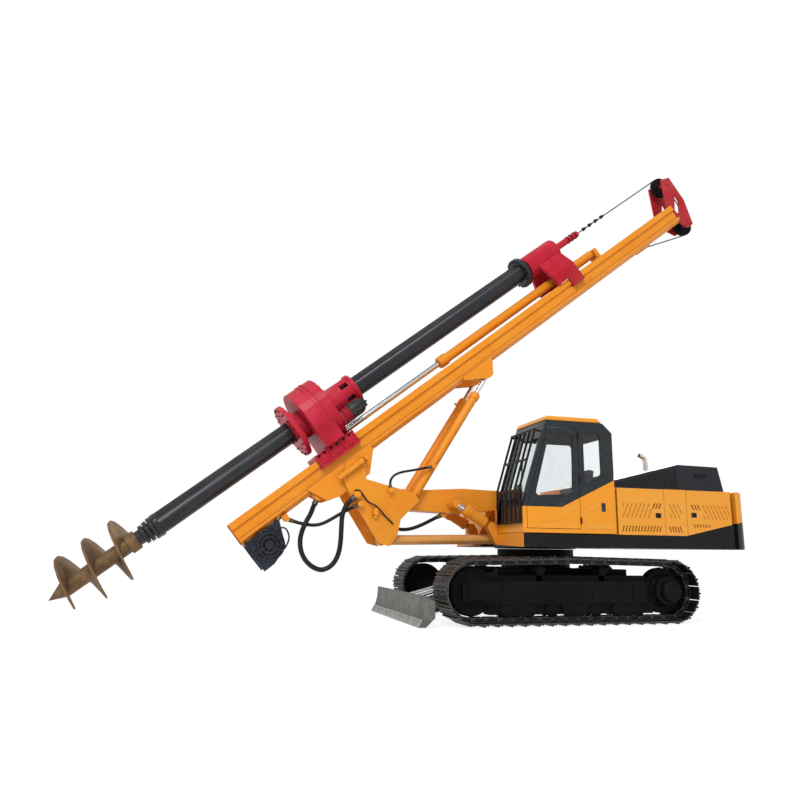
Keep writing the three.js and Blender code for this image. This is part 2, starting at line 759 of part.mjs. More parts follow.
const outerLeft = [-PLATFORM.halfWidth, -PLATFORM.halfWidth + HOUSING.sheet];

function rearHousing() {
  const { top, sheet, doorSplit, bayStart, bayEnd } = HOUSING;
  const deck = PLATFORM.deck + SEAM;
  const front = CAB.rear + SWING;
  const inside = deckHalf - 8;
  const rear = COUNTERWEIGHT.shoulder - 10;
  const midPanel = [
    [doorSplit + 3, skirtTopAt(0) + 3],
    [SKIRT.riseFrom, skirtTopAt(0) + 3],
    [bayStart - 3, skirtTopAt(bayStart) + 3],
    [bayStart - 3, top],
    [doorSplit + 3, top],
  ];
  const rightPanel = [
    [front, skirtTopAt(0) + 3],
    [SKIRT.riseFrom, skirtTopAt(0) + 3],
    [rear, skirtTopAt(rear) + 3],
    [rear, top],
    [front, top],
  ];
  const mid = PLATFORM.halfWidth - sheet;
  const muffler = [
    [HOOD.front, top - sheet],
    [rear, top - sheet],
    [rear, HOOD.peak - 30],
    [HOOD.kneeX, HOOD.peak - 30],
    [HOOD.front, 2050],
  ];
  const mufflerY = [HOOD.right + SWING, -HOOD.left];
  return cut(
    join(
      block([front, front + sheet], [-inside, inside], [deck, top]),
      block([front, rear], [-inside, PLATFORM.halfWidth], [top - sheet, top]),
      sidePlate(rightPanel, [mid, PLATFORM.halfWidth]),
      sidePlate(midPanel, outerLeft),
      block([doorSplit + 3, bayStart - 3], [-mid - 10, -mid + 30], [top - 60, top]),
      sidePlate(muffler, mufflerY),
    ),
    block([HOOD.front + 60, bayEnd], [HOOD.left + 60, HOOD.right - 20], [top - sheet - 10, top + 10]),
    sidePlate(openBelow(muffler, sheet, top), [mufflerY[0] + sheet, mufflerY[1] - sheet]),
  );
}

// The hollow of a cover drawn in by its sheet, with its foot run out below the given height.
function openBelow(outline, sheet, height) {
  return inset(outline, sheet).map(([x, z]) => [x, z < height + 2 * sheet ? height - 2 * sheet : z]);
}

function serviceDoor(from, to) {
  const outline = [
    [from, skirtTopAt(from) + 8],
    [to, skirtTopAt(to) + 8],
    [to, HOUSING.top - 5],
    [from, HOUSING.top - 5],
  ];
  return sidePlate(outline, outerLeft);
}

function hood() {
  const foot = HOUSING.top + SWING;
  const outline = [
    [HOOD.front, foot],
    [HOOD.rear, foot],
    [HOOD.rear - 90, HOOD.peak - 10],
    [HOOD.kneeX, HOOD.peak],
    [HOOD.front, 2050],
  ];
  return cut(
    sidePlate(outline, [HOOD.left, HOOD.right]),
    sidePlate(openBelow(outline, HOOD.sheet, foot), [HOOD.left + HOOD.sheet, HOOD.right - HOOD.sheet]),
  );
}

function counterweight() {
  const { front, shoulder, corner } = COUNTERWEIGHT;
  const half = PLATFORM.halfWidth;
  const shape = new THREE.Path();
  shape.moveTo(shoulder, -half);
  shape.absarc(PLATFORM.tail - corner, -half + corner, corner, -Math.PI / 2, 0, false);
  shape.absarc(PLATFORM.tail - corner, half - corner, corner, 0, Math.PI / 2, false);
  shape.lineTo(shoulder, half);
  const rounded = shape.getPoints(6).map((point) => [point.x, point.y]);
  const inner = half - HOUSING.sheet - 12;
  return join(
    floorPlate(rounded, [PLATFORM.low, HOUSING.top]),
    block([front, shoulder + 5], [-inner, inner], [PLATFORM.deck + SEAM, HOUSING.top - 260]),
  );
}

function rightHousing() {
  const x = [PLATFORM.front + 150, CAB.rear - 2];
  const y = [385, PLATFORM.halfWidth];
  const z = [PLATFORM.skirtTop + SEAM, HOUSING.top];
  const sheet = HOUSING.sheet;
  const hollow = block([x[0] + sheet, x[1] - sheet], [y[0] + sheet, y[1] - sheet], [z[0] - 10, z[1] - sheet]);
  return cut(block(x, y, z), hollow);
}

function exhaustStack() {
  const foot = HOOD.peak - 30 + SEAM;
  const x = 2560;
  const y = 600;
  const route = new THREE.CatmullRomCurve3([
    new THREE.Vector3(x, y, foot),
    new THREE.Vector3(x, y, foot + 200),
    new THREE.Vector3(x - 40, y, foot + 340),
    new THREE.Vector3(x - 130, y, foot + 430),
  ]);
  const section = new THREE.Shape().absarc(0, 0, 45, 0, 2 * Math.PI, false);
  return solid(new THREE.ExtrudeGeometry(section, { steps: 6, curveSegments: 5, extrudePath: route }));
}

// ---- Boom, link and mast frame ----

const boomNose = { x: BOOM_FOOT.x - BOOM.reach, z: BOOM_FOOT.z - BOOM.drop };
const linkNose = { x: LINK.x - BOOM.reach, z: LINK.z - BOOM.drop };

function boom() {
  const { halfWidth, wall, top, bottom, noseRadius } = BOOM;
  const foot = BOOM_FOOT;
  const outline = [
    [boomNose.x, boomNose.z - noseRadius],
    [boomNose.x + 850, bottom],
    [foot.x - 100, foot.z - foot.radius + 20],
    [foot.x, foot.z + foot.radius],
    [boomNose.x + 850, top],
    [boomNose.x, boomNose.z + noseRadius],
  ];
  const width = [-halfWidth, halfWidth];
  const body = join(
    sidePlate(outline, width),
    across(noseRadius, width, boomNose.x, boomNose.z),
    across(foot.radius, [-CHEEK.y + SWING, CHEEK.y - SWING], foot.x, foot.z),
    bothSides((side) =>
      across(75, span(side, halfWidth - 10, BOOM_RAM.y - eyeGap(BOOM_RAM) / 2), BOOM_RAM.eyeX, BOOM_RAM.eyeZ),
    ),
    boss(HOSES.boom.to),
  );
  const hollowOutline = inset(outline, wall).map(([x, z]) => [
    Math.min(Math.max(x, boomNose.x + noseRadius + 20), foot.x - foot.radius - 60),
    z,
  ]);
  return cut(
    body,
    sidePlate(hollowOutline, [-halfWidth + wall, halfWidth - wall]),
    block([boomNose.x + 700, boomNose.x + 900], [-60, 60], [bottom - 20, bottom + 60]),
    across(FRAME.pin + PIN_FIT, [-halfWidth - 10, halfWidth + 10], boomNose.x, boomNose.z),
    across(foot.pin + PIN_FIT, [-CHEEK.y, CHEEK.y], foot.x, foot.z),
  );
}

function lowerLink() {
  const tubeY = [LINK.y - LINK.radius, LINK.y + LINK.radius];
  const run = { x: linkNose.x - LINK.x, z: linkNose.z - LINK.z };
  const length = Math.hypot(run.x, run.z);
  const tilt = Math.atan2(-run.z, -run.x);
  const ends = [LINK, linkNose];
  const tube = (side) => {
    const bar = new THREE.CylinderGeometry(LINK.radius, LINK.radius, length, 14);
    bar.rotateZ(Math.PI / 2).rotateY(-tilt);
    return solid(bar.translate(LINK.x + run.x / 2, side * LINK.y, LINK.z + run.z / 2));
  };
  const parts = [
    bothSides(tube),
    across(50, [-LINK.y, LINK.y], LINK.x + run.x / 2, LINK.z + run.z / 2, 10),
    ...ends.map(({ x, z }) => bothSides((side) => across(LINK.eye, span(side, ...tubeY), x, z, 14))),
  ];
  const holes = ends.map(({ x, z }) => across(LINK.pin + PIN_FIT, [-LINK.y * 2, LINK.y * 2], x, z, 16));
  return cut(join(...parts), ...holes);
}

function mastFrame() {
  const { y, thick, pin, tube } = FRAME;
  const width = [-y - thick, y + thick];
  const outline = [
    [linkNose.x - 180, linkNose.z - 50],
    [linkNose.x - 20, linkNose.z - 90],
    [linkNose.x + 100, linkNose.z + 60],
    [boomNose.x - 200, boomNose.z - 300],
    [boomNose.x - 30, boomNose.z - 130],
    [boomNose.x + 90, boomNose.z - 20],
    [boomNose.x + 20, boomNose.z + 90],
    [MAST.pivotX + 170, MAST.pivotZ - 160],
    [MAST.pivotX + 150, MAST.pivotZ + 60],
    [MAST.pivotX + 20, MAST.pivotZ + 150],
    [MAST.pivotX - 130, MAST.pivotZ + 80],
    [MAST.pivotX - 200, MAST.pivotZ - 130],
    [MAST.pivotX - 60, MAST.pivotZ - 420],
  ];
  return join(
    bothSides((side) => sidePlate(outline, span(side, y, y + thick))),
    across(pin, width, boomNose.x, boomNose.z),
    across(LINK.pin, width, linkNose.x, linkNose.z, 16),
    across(50, width, MAST.pivotX, MAST.pivotZ),
    across(tube, width, linkNose.x - 60, linkNose.z + 270, 16),
    boss(HOSES.loop.to),
    boss(HOSES.sag.to),
    boss(HOSES.ram.from),
    boss(HOSES.boom.from),
  );
}

// ---- Mast: x runs along it from its foot, z runs from its front face towards the kelly ----

const mast = new THREE.Group();
mast.rotation.y = -degrees(MAST.angle);
const pivot = new THREE.Vector3(MAST.pivotS, 0, MAST.pivotN).applyEuler(mast.rotation);
mast.position.set(MAST.pivotX - pivot.x, 0, MAST.pivotZ - pivot.z);
rig.add(mast);

// A point of the mast's own frame, in the model.
function onMast(s, n) {
  const point = new THREE.Vector3(s, 0, n).applyEuler(mast.rotation).add(mast.position);
  return { x: point.x, z: point.z };
}

function mastBeam() {
  const { halfWidth, depth, flange, web, wall, length } = MAST;
  const half = [
    [halfWidth, 0],
    [halfWidth, -flange],
    [web, -flange - 10],
    [web, -depth + 105],
    [halfWidth, -depth + 96],
    [halfWidth, -depth + 60],
    [halfWidth - 100, -depth],
  ];
  const inner = [
    [web - wall, -wall],
    [web - wall, -depth + 60],
    [halfWidth - 110, -depth + wall],
  ];
  const beam = profileAlong(bothWays(half), [0, length], [bothWays(inner)]);
  const side = [
    [SADDLE.from, -depth + 100],
    [SADDLE.from + 150, -SADDLE.deep + 60],
    [SADDLE.from + 320, -SADDLE.deep],
    [SADDLE.to - 260, -SADDLE.deep],
    [SADDLE.to, -depth],
    [SADDLE.to, -depth + 100],
  ];
  const saddle = bothSides((way) =>
    sidePlate(side, span(way, halfWidth - 5, halfWidth - 5 + SADDLE.thick)),
  );
  const hole = across(50 + PIN_FIT, [-halfWidth - 50, halfWidth + 50], MAST.pivotS, MAST.pivotN);
  const ear = [
    [LUFF_LUG.from, -depth + 20],
    [LUFF_LUG.s - 60, LUFF_LUG.n - 50],
    [LUFF_LUG.s + 50, LUFF_LUG.n - 50],
    [LUFF_LUG.to, -depth + 20],
  ];
  const gap = eyeGap(LUFF_RAM);
  const lugs = bothSides((way) => pairOfEars(way, ear, LUFF_RAM.y, gap, LUFF_LUG.ear));
  const lugHalf = LUFF_RAM.y + gap / 2 + LUFF_LUG.ear;
  const plate = block([LUFF_LUG.from, LUFF_LUG.to], [-lugHalf, lugHalf], [-depth + 10, -depth + 70]);
  const notch = bothSides((way) =>
    block(
      [LUFF_LUG.s - LUFF_LUG.notch, LUFF_LUG.to + 1],
      span(way, LUFF_RAM.y - gap / 2, LUFF_RAM.y + gap / 2),
      [-depth, -depth + 80],
    ),
  );
  const strip = cut(plate, notch);
  const topStop = block([CROWD.to + 10, CROWD.to + 90], [-110, 110], [-20, CROWD.n + 60]);
  const hoseBoss = ({ s, n, y, radius }) =>
    join(
      across(radius, y, s, n),
      block([s - radius, s + radius], [y[0] + 20, y[1] - 20], [n, -depth + 10]),
    );
  return join(
    cut(join(beam, saddle), hole),
    lugs,
    strip,
    topStop,
    hoseBoss(HOSES.loop.from),
    hoseBoss(HOSES.sag.from),
  );
}

const sheaveFront = { s: MAST.length + 330, n: KELLY_N - SHEAVE.radius };
const sheaveRear = { s: MAST.length + 220, n: -640 + SHEAVE.radius };

function crownHead() {
  const { y, thick } = CROWN;
  const foot = MAST.length + SEAM;
  const outline = [
    [foot, 20],
    [foot, -MAST.depth + 40],
    [sheaveRear.s - 80, sheaveRear.n - 90],
    [sheaveRear.s + 60, sheaveRear.n - 80],
    [sheaveFront.s + 110, -60],
    [sheaveFront.s + 130, sheaveFront.n + 60],
    [sheaveFront.s - 60, sheaveFront.n + 110],
  ];
  const slot = [
    [foot + 90, -150],
    [foot + 330, 120],
    [foot + 310, -20],
    [foot + 160, -220],
  ];
  const cheeks = bothSides((side) => sidePlate(outline, span(side, y, y + thick), [slot]));
  const width = [-y - thick - 20, y + thick + 20];
  const base = block([foot, foot + 40], [-280, 280], [-MAST.depth + 40, -10]);
  return join(
    cheeks,
    base,
    across(SHEAVE.pin, width, sheaveFront.s, sheaveFront.n),
    across(SHEAVE.pin, width, sheaveRear.s, sheaveRear.n),
  );
}

function sheave({ s, n }) {
  const { radius, width, pin } = SHEAVE;
  const rim = width / 2;
  const bore = pin + PIN_FIT;
  const profile = [
    [-rim, bore],
    [rim, bore],
    [rim, radius + 14],
    [8, radius - 18],
    [-8, radius - 18],
    [-rim, radius + 14],
  ];
  const points = profile.map(([y, r]) => new THREE.Vector2(r, y));
  if (THREE.ShapeUtils.area(points) < 0) points.reverse();
  points.push(points[0].clone());
  return solid(new THREE.LatheGeometry(points, 24).translate(s, 0, n));
}

function winchFrame() {
  const outline = [
    [20, -MAST.depth - SEAM],
    [20, -600],
    [30, -830],
    [200, -830],
    [460, -740],
    [610, -MAST.depth - SEAM],
  ];
  const { y, plate } = WINCH;
  const width = [-y - plate, y + plate];
  return join(
    bothSides((side) => sidePlate(outline, span(side, y, y + plate))),
    block([30, 70], width, [-MAST.depth - 40, -MAST.depth - SEAM]),
    block([540, 590], width, [-MAST.depth - 45, -MAST.depth - SEAM]),
    across(45, width, WINCH.s, WINCH.n, 16),
  );
}

function winchDrum() {
  const { drum, flange } = WINCH;
  const half = WINCH.y - SWING;
  const bore = 45 + PIN_FIT;
  const profile = [
    [bore, -half],
    [flange, -half],
    [flange, -half + 25],
    [drum, -half + 25],
    [drum, half - 25],
    [flange, half - 25],
    [flange, half],
    [bore, half],
    [bore, -half],
  ].map(([r, y]) => new THREE.Vector2(r, y));
  return solid(new THREE.LatheGeometry(profile, 20).translate(WINCH.s, 0, WINCH.n));
}

function crowdBarrel() {
  const { n, radius, bore, from, to } = CROWD;
  return turned(
    [
      [to - 120, 0],
      [to - 120, bore],
      [from, bore],
      [from, radius + 18],
      [from + 150, radius + 18],
      [from + 150, radius],
      [to, radius],
      [to, 0],
    ],
    0,
    n,
    18,
  );
}

function crowdRod() {
  const { n, rod, rodTo } = CROWD;
  return lengthwise(rod, [SLEDGE.to + SEAM, rodTo], 0, n);
}

// ---- Rotary drive ----

// One side of a carriage that wraps the mast's front flange: its outer wall and the lip behind.
function claw(side, from, to) {
  const lip = MAST.web + 8;
  return join(
    block([from, to], span(side, MAST.halfWidth + SWING, SLEDGE.claw), [-MAST.flange - 55, SWING + 20]),
    block([from, to], span(side, lip, SLEDGE.claw), [-MAST.flange - 55, -MAST.flange - 18]),
  );
}

function rotarySledge() {
  const { from, to, plate, claw: outer } = SLEDGE;
  return join(
    block([from, to], [-outer, outer], [SWING, plate]),
    bothSides((side) => claw(side, from, to)),
    block([to - 120, to], [-90, 90], [SWING, CROWD.n + 70]),
  );
}

function rotaryGearbox() {
  const { from, to, radius, bore } = GEARBOX;
  const flat = SLEDGE.plate + SEAM;
  const casing = lengthwise(radius, [from, to], 0, KELLY_N, 28);
  const chest = block([from, to - 130], [-radius + 60, radius - 60], [flat, KELLY_N]);
  const trimmed = cut(
    join(casing, chest),
    block([from - 10, to + 10], [-2 * radius, 2 * radius], [KELLY_N - 2 * radius, flat]),
    block([to - 125, to + 10], [-100, 100], [0, CROWD.n + 80]),
    lengthwise(bore, [from - 10, to + 10], 0, KELLY_N, 20),
  );
  const motors = bothSides((side) => lengthwise(95, [to - 10, to + 410], side * 330, KELLY_N - 275, 14));
  return join(trimmed, motors);
}

function driveSleeve() {
  const { from, flange, flangeThick, neck, drum, drumFrom, to } = SLEEVE;
  const bore = KELLY.radius + 15 + 11;
  return turned(
    [
      [from, bore],
      [from, flange],
      [from + flangeThick, flange],
      [from + flangeThick, neck],
      [drumFrom, neck],
      [drumFrom, drum + 20],
      [drumFrom + 60, drum + 20],
      [drumFrom + 60, drum],
      [to - 60, drum],
      [to - 60, drum + 18],
      [to, drum + 18],
      [to, bore],
    ],
    0,
    KELLY_N,
  );
}

// ---- Kelly, its guide and the auger ----

function kellyOuter() {
  const { radius, bore, from, flangeAt, flangeRadius, top } = KELLY;
  const tube = turned(
    [
      [from, bore],
      [from, radius + 22],
      [from + 70, radius + 22],
      [from + 70, radius],
      [flangeAt, radius],
      [flangeAt, flangeRadius],
      [flangeAt + 70, flangeRadius],
      [flangeAt + 70, radius - 5],
      [top, radius - 5],
      [top, bore],
    ],
    0,
    KELLY_N,
    20,
  );
  const keys = [0, 1, 2].map((i) => {
    const angle = (i * 2 * Math.PI) / 3;
    const rib = new THREE.BoxGeometry(flangeAt - from - 10, 36, 28);
    rib.translate((from + flangeAt) / 2, 0, radius + 2).rotateX(angle);
    return solid(rib.translate(0, 0, KELLY_N));
  });
  return join(tube, ...keys);
}

// The inner kelly with the end rings of its nested tubes, and the swivel on its top.
function kellyInner() {
  const { radius, bore, from, to, ring, ringStep } = STEM;
  const rings = [0, 1, 2].flatMap((i) => {
    const top = KELLY.from - SWING - ringStep * i;
    return [
      [top, radius],
      [top, ring - 14 * i],
      [top - ringStep + 14, ring - 14 * i],
      [top - ringStep + 14, radius],
    ];
  });
  return turned(
    [
      [to - 150, 0],
      [to - 150, bore],
      [from, bore],
      [from, radius],
      ...rings.reverse(),
      [to - 100, radius],
      [to - 60, SWIVEL.radius],
      [SWIVEL.to, SWIVEL.radius],
      [SWIVEL.to, 0],
    ],
    0,
    KELLY_N,
    18,
  );
}

// One side plate with its shoe, and the ring that the kelly turns in.
function kellyGuide() {
  const { from, to, shoeFrom, shoeTo, ring } = GUIDE;
  const bore = KELLY.radius - 5 + SWING;
  const collar = turned(
    [
      [from, bore],
      [from, ring],
      [to, ring],
      [to, bore],
    ],
    0,
    KELLY_N,
  );
  const arm = [
    [SLEDGE.claw, SWING],
    [SLEDGE.claw, 190],
    [190, KELLY_N - 90],
    [150, KELLY_N - 130],
    [MAST.halfWidth + SWING - 30, 160],
    [MAST.halfWidth + SWING - 30, SWING],
  ];
  const arms = join(
    profileAlong(arm, [shoeFrom - 250, shoeTo]),
    profileAlong(mirrored(arm), [shoeFrom - 250, shoeTo]),
  );
  const shoes = bothSides((side) => claw(side, shoeFrom, shoeTo));
  return join(collar, arms, shoes);
}

// A helical flight about the kelly's line, as one closed band.
function flight({ top, radius, stem, pitch, turns, flight: thick }) {
  const perTurn = 16;
  const steps = Math.round(turns * perTurn);
  const corners = [];
  for (let i = 0; i <= steps; i++) {
    const angle = (i / perTurn) * 2 * Math.PI;
    const s = top - 60 - (pitch * i) / perTurn;
    for (const [r, ahead] of [
      [stem - 20, 0],
      [radius, 0],
      [radius, thick],
      [stem - 20, thick],
    ]) {
      corners.push(s + ahead, r * Math.cos(angle), KELLY_N + r * Math.sin(angle));
    }
  }
  const faces = [0, 1, 2, 0, 2, 3];
  for (let i = 0; i < steps; i++) {
    for (let k = 0; k < 4; k++) {
      const a = 4 * i + k;
      const b = 4 * i + ((k + 1) % 4);
      faces.push(a, b + 4, b, a, a + 4, b + 4);
    }
  }
  const last = 4 * steps;
  faces.push(last, last + 2, last + 1, last, last + 3, last + 2);
  const band = new THREE.BufferGeometry();
  band.setAttribute("position", new THREE.Float32BufferAttribute(corners, 3));
  band.setIndex(faces);
  return solid(band);
}

function auger() {
  const { top, stem, tip } = AUGER;
  const start = top - SEAM;
  const core = turned(
    [
      [start, 0],
      [start, 140],
      [start - 130, 140],
      [start - 130, stem],
      [tip + 230, stem],
      [tip, 0],
    ],
    0,
    KELLY_N,
    16,
  );
  return join(core, flight(AUGER));
}

// ---- The whole rig ----

for (const side of [-1, 1]) {
  add(`track_frame_${sideName(side)}`, trackFrame(side), dark);
  add(`track_${sideName(side)}`, track(side), dark);
  add(`sprocket_${sideName(side)}`, sprocket(side), dark);
}
add("car_body", carBody(), dark);
add("dozer_blade", blade(), steel);
add("platform", platform(), orange);
add("cab_shell", cabShell(), navy);
add("cab_roof", cabRoof(), yellow);
add("windscreen", windscreen(), glazing);
add("quarter_window", pane(quarterWindow, glassY), glazing);
add("inner_window", pane(innerWindow, cabY[1] - 22), glazing);
add("cab_door", cabDoor(), navy);
add("cab_door_glass", pane(doorWindow, glassY), glazing);
add("operator_seat", operatorSeat(), dark);
add("front_guard", frontGuard(), dark);
add("engine_block", block([1200, 2150], [-350, 350], [1200, 1800]), steel);
add("rear_housing", rearHousing(), yellow);
add("service_door_front", serviceDoor(HOUSING.doorFront, HOUSING.doorSplit - 3), yellow);
add("service_door_rear", serviceDoor(HOUSING.bayStart + 3, HOUSING.bayEnd), yellow);
add("engine_hood", hood(), navy);
add("counterweight", counterweight(), yellow);
add("right_housing", rightHousing(), yellow);
add("exhaust_stack", exhaustStack(), chrome);
add("boom", boom(), orange);
add("lower_link", lowerLink(), orange);
add("mast_frame", mastFrame(), orange);
add("mast", mastBeam(), orange, mast);
add("crown_head", crownHead(), red, mast);
add("crown_sheave_front", sheave(sheaveFront), dark, mast);
add("crown_sheave_rear", sheave(sheaveRear), dark, mast);
add("winch_frame", winchFrame(), navy, mast);
add("winch_drum", winchDrum(), dark, mast);
add("crowd_barrel", crowdBarrel(), orange, mast);
add("crowd_rod", crowdRod(), chrome, mast);
add("rotary_sledge", rotarySledge(), red, mast);
add("rotary_gearbox", rotaryGearbox(), red, mast);
add("drive_sleeve", driveSleeve(), red, mast);
add("kelly_guide", kellyGuide(), red, mast);
add("kelly_outer", kellyOuter(), navy, mast);
add("kelly_inner", kellyInner(), navy, mast);
add("auger", auger(), earth, mast);

const bladeRamSize = { radius: BLADE_RAM.barrel, rod: BLADE_RAM.rod, eye: 48, width: 58, pin: 25 };
const boomRamSize = { radius: BOOM_RAM.barrel, rod: BOOM_RAM.rod, eye: 66, width: 68, pin: 35 };
const luffRamSize = { radius: LUFF_RAM.barrel, rod: LUFF_RAM.rod, eye: 60, width: 54, pin: FRAME.pin };
for (const side of [-1, 1]) {
  const bladeBase = { x: BLADE_RAM.baseX, z: BLADE_RAM.baseZ };
  const bladeEye = { x: BLADE_RAM.eyeX, z: BLADE_RAM.eyeZ };
  const bladeSize = { ...bladeRamSize, length: 980, overlap: 950, colour: dark };
  addRam("blade_ram", side, bladeBase, bladeEye, BLADE_RAM.y, bladeSize);
  const boomBase = { x: BOOM_RAM.baseX, z: BOOM_RAM.baseZ };
  const boomEye = { x: BOOM_RAM.eyeX, z: BOOM_RAM.eyeZ };
  const boomSize = { ...boomRamSize, length: 500, overlap: 410, colour: orange };
  addRam("boom_ram", side, boomBase, boomEye, BOOM_RAM.y, boomSize);
  const luffSize = { ...luffRamSize, length: LUFF_RAM.length, overlap: 1700, colour: orange };
  const { along, y, radius } = HOSES.ram.to;
  const barrelBoss = side < 0 ? boss({ x: along, z: 0, y, radius }) : null;
  addRam("luff_ram", side, boomNose, onMast(LUFF_LUG.s, LUFF_LUG.n), LUFF_RAM.y, luffSize, barrelBoss);
}
for (const name of ["loop", "sag", "ram", "boom"]) add(`${name}_hose`, hose(HOSES[name]), rubber);

export default rig;
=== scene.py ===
import json
import math

import bmesh
import bpy
from mathutils import Matrix, Vector

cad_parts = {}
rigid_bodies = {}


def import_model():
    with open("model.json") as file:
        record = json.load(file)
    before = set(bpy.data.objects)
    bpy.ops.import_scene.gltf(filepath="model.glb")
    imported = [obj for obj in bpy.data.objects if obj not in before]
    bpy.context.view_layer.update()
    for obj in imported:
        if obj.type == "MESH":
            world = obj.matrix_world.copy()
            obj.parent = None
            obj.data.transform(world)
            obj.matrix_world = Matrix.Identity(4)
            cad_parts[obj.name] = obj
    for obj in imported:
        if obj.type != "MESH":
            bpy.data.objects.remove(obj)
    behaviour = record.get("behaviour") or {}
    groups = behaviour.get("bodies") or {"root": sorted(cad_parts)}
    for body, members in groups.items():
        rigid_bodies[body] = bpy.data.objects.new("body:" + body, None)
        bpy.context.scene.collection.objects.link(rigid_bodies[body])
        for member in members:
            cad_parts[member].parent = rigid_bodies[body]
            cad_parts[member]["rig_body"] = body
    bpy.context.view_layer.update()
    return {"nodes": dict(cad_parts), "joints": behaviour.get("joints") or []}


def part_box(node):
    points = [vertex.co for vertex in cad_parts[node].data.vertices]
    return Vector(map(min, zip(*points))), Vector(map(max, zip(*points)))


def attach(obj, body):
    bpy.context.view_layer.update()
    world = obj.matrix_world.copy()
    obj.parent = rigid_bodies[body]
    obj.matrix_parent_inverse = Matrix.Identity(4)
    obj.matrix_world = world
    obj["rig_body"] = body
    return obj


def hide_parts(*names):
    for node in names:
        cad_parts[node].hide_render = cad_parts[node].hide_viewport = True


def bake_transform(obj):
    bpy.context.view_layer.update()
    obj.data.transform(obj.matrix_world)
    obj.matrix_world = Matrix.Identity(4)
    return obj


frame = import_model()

# A rotary piling rig on tracks, in metres, +Z up, facing -X, with its cab on the -Y side.
# Pieces on the mast are drawn in the mast's own frame: s along it, y across it, n towards the kelly.

JOINTS = {joint["name"]: joint for joint in frame["joints"]}


def joint_at(name):
    """Where a joint sits."""
    return Vector(JOINTS[name]["pos_m"])


# ---- Places taken from the frame ----

ALONG = Vector(JOINTS["rotary_feed"]["axis"]).normalized()
OUTWARD = Vector((-ALONG.z, 0, ALONG.x))
PIVOT_S = 1.93  # the luffing pivot's place along the mast
PIVOT_N = -0.42  # and behind its front face
KELLY_N = 0.575  # the kelly's axis, in front of that face
MAST_FOOT = joint_at("mast_luff") - PIVOT_S * ALONG - PIVOT_N * OUTWARD
MAST = Matrix(
    (
        (ALONG.x, 0, OUTWARD.x, MAST_FOOT.x),
        (0, 1, 0, 0),
        (ALONG.z, 0, OUTWARD.z, MAST_FOOT.z),
        (0, 0, 0, 1),
    )
)
KELLY = MAST @ Matrix.Translation((0, 0, KELLY_N))


# ---- Camera, light and floor ----

FOCAL = 31.5  # mm on a 36 mm sensor
CAMERA_AT = (-5.19, -10.5, 1.006)
HEADING = 15.5  # degrees turned from +Y towards +X
PITCH = 12.1
ROLL = 0.69


def make_camera():
    """The camera of the main view."""
    data = bpy.data.cameras.new("camera")
    data.lens = FOCAL
    data.sensor_width = 36
    data.clip_end = 200
    camera = bpy.data.objects.new("camera", data)
    turn = (
        Matrix.Rotation(math.radians(-HEADING), 4, "Z")
        @ Matrix.Rotation(math.radians(90 + PITCH), 4, "X")
        @ Matrix.Rotation(math.radians(ROLL), 4, "Z")
    )
    camera.matrix_world = Matrix.Translation(CAMERA_AT) @ turn
    bpy.context.scene.collection.objects.link(camera)
    bpy.context.scene.camera = camera


make_camera()


# ---- Node helper ----

def node(tree, kind, sockets=None, **settings):
    """A shader node with its settings, and its sockets set or linked by name or number."""
    made = tree.nodes.new("ShaderNode" + kind)
    for key, value in settings.items():
        setattr(made, key, value)
    for key, value in (sockets or {}).items():
        if isinstance(value, bpy.types.NodeSocket):
            tree.links.new(value, made.inputs[key])
        else:
            made.inputs[key].default_value = value
    return made


def blank_material(name):
    """A material with an empty node tree."""
    material = bpy.data.materials.new(name)
    material.use_nodes = True
    tree = material.node_tree
    tree.nodes.clear()
    return material, tree


def textured(name):
    """A blank material, its tree, and the socket of the place on the object."""
    material, tree = blank_material(name)
    return material, tree, node(tree, "TexCoord").outputs["Object"]


def noise(tree, place, scale, detail=4.0, roughness=0.6):
    """Fractal noise from 0 to 1."""
    sockets = {"Vector": place, "Scale": scale, "Detail": detail, "Roughness": roughness}
    return node(tree, "TexNoise", sockets).outputs["Fac"]


def between(tree, value, low, high):
    """The value as a mask from 0 at low to 1 at high."""
    sockets = {"Value": value, "From Min": low, "From Max": high}
    return node(tree, "MapRange", sockets, clamp=True).outputs["Result"]


def calc(tree, operation, *values):
    """A sum done by a node on numbers and sockets."""
    return node(tree, "Math", dict(enumerate(values)), operation=operation).outputs[0]


def times(tree, a, b):
    """The product of two masks."""
    return calc(tree, "MULTIPLY", a, b)


def blended(tree, share, first, second):
    """Two shaders mixed by a share."""
    return node(tree, "MixShader", {0: share, 1: first, 2: second}).outputs[0]


def mix(tree, share, a, b):
    """Two colours mixed by a share."""
    made = node(tree, "Mix", {"Factor": share}, data_type="RGBA")
    for socket, value in ((made.inputs[6], a), (made.inputs[7], b)):
        if isinstance(value, bpy.types.NodeSocket):
            tree.links.new(value, socket)
        else:
            socket.default_value = (*value, 1)
    return made.outputs[2]


def stage_material(name, share):
    """White for the camera, mirrors and glass, with the light's own shading in the rest."""
    material, tree = blank_material(name)
    diffuse = node(tree, "BsdfDiffuse", {"Color": (0.9, 0.9, 0.9, 1)}).outputs[0]
    white = node(tree, "Emission", {"Color": (1, 1, 1, 1), "Strength": FLOOR_GLOW}).outputs[0]
    node(tree, "OutputMaterial", {0: blended(tree, seen_directly(tree, share), diffuse, white)})
    return material


def seen_directly(tree, share):
    """The share for rays from the camera, mirrors and glass, and 0 for other rays."""
    rays = node(tree, "LightPath").outputs
    either = calc(tree, "MAXIMUM", rays["Is Camera Ray"], rays["Is Glossy Ray"])
    return times(tree, calc(tree, "MAXIMUM", either, rays["Is Transmission Ray"]), share)


FLOOR_SIZE = 160
FLOOR_WHITE = 0.72  # how much of the floor is plain white to the camera
FLOOR_GLOW = 1.16
SKY_LIGHT = 0.86


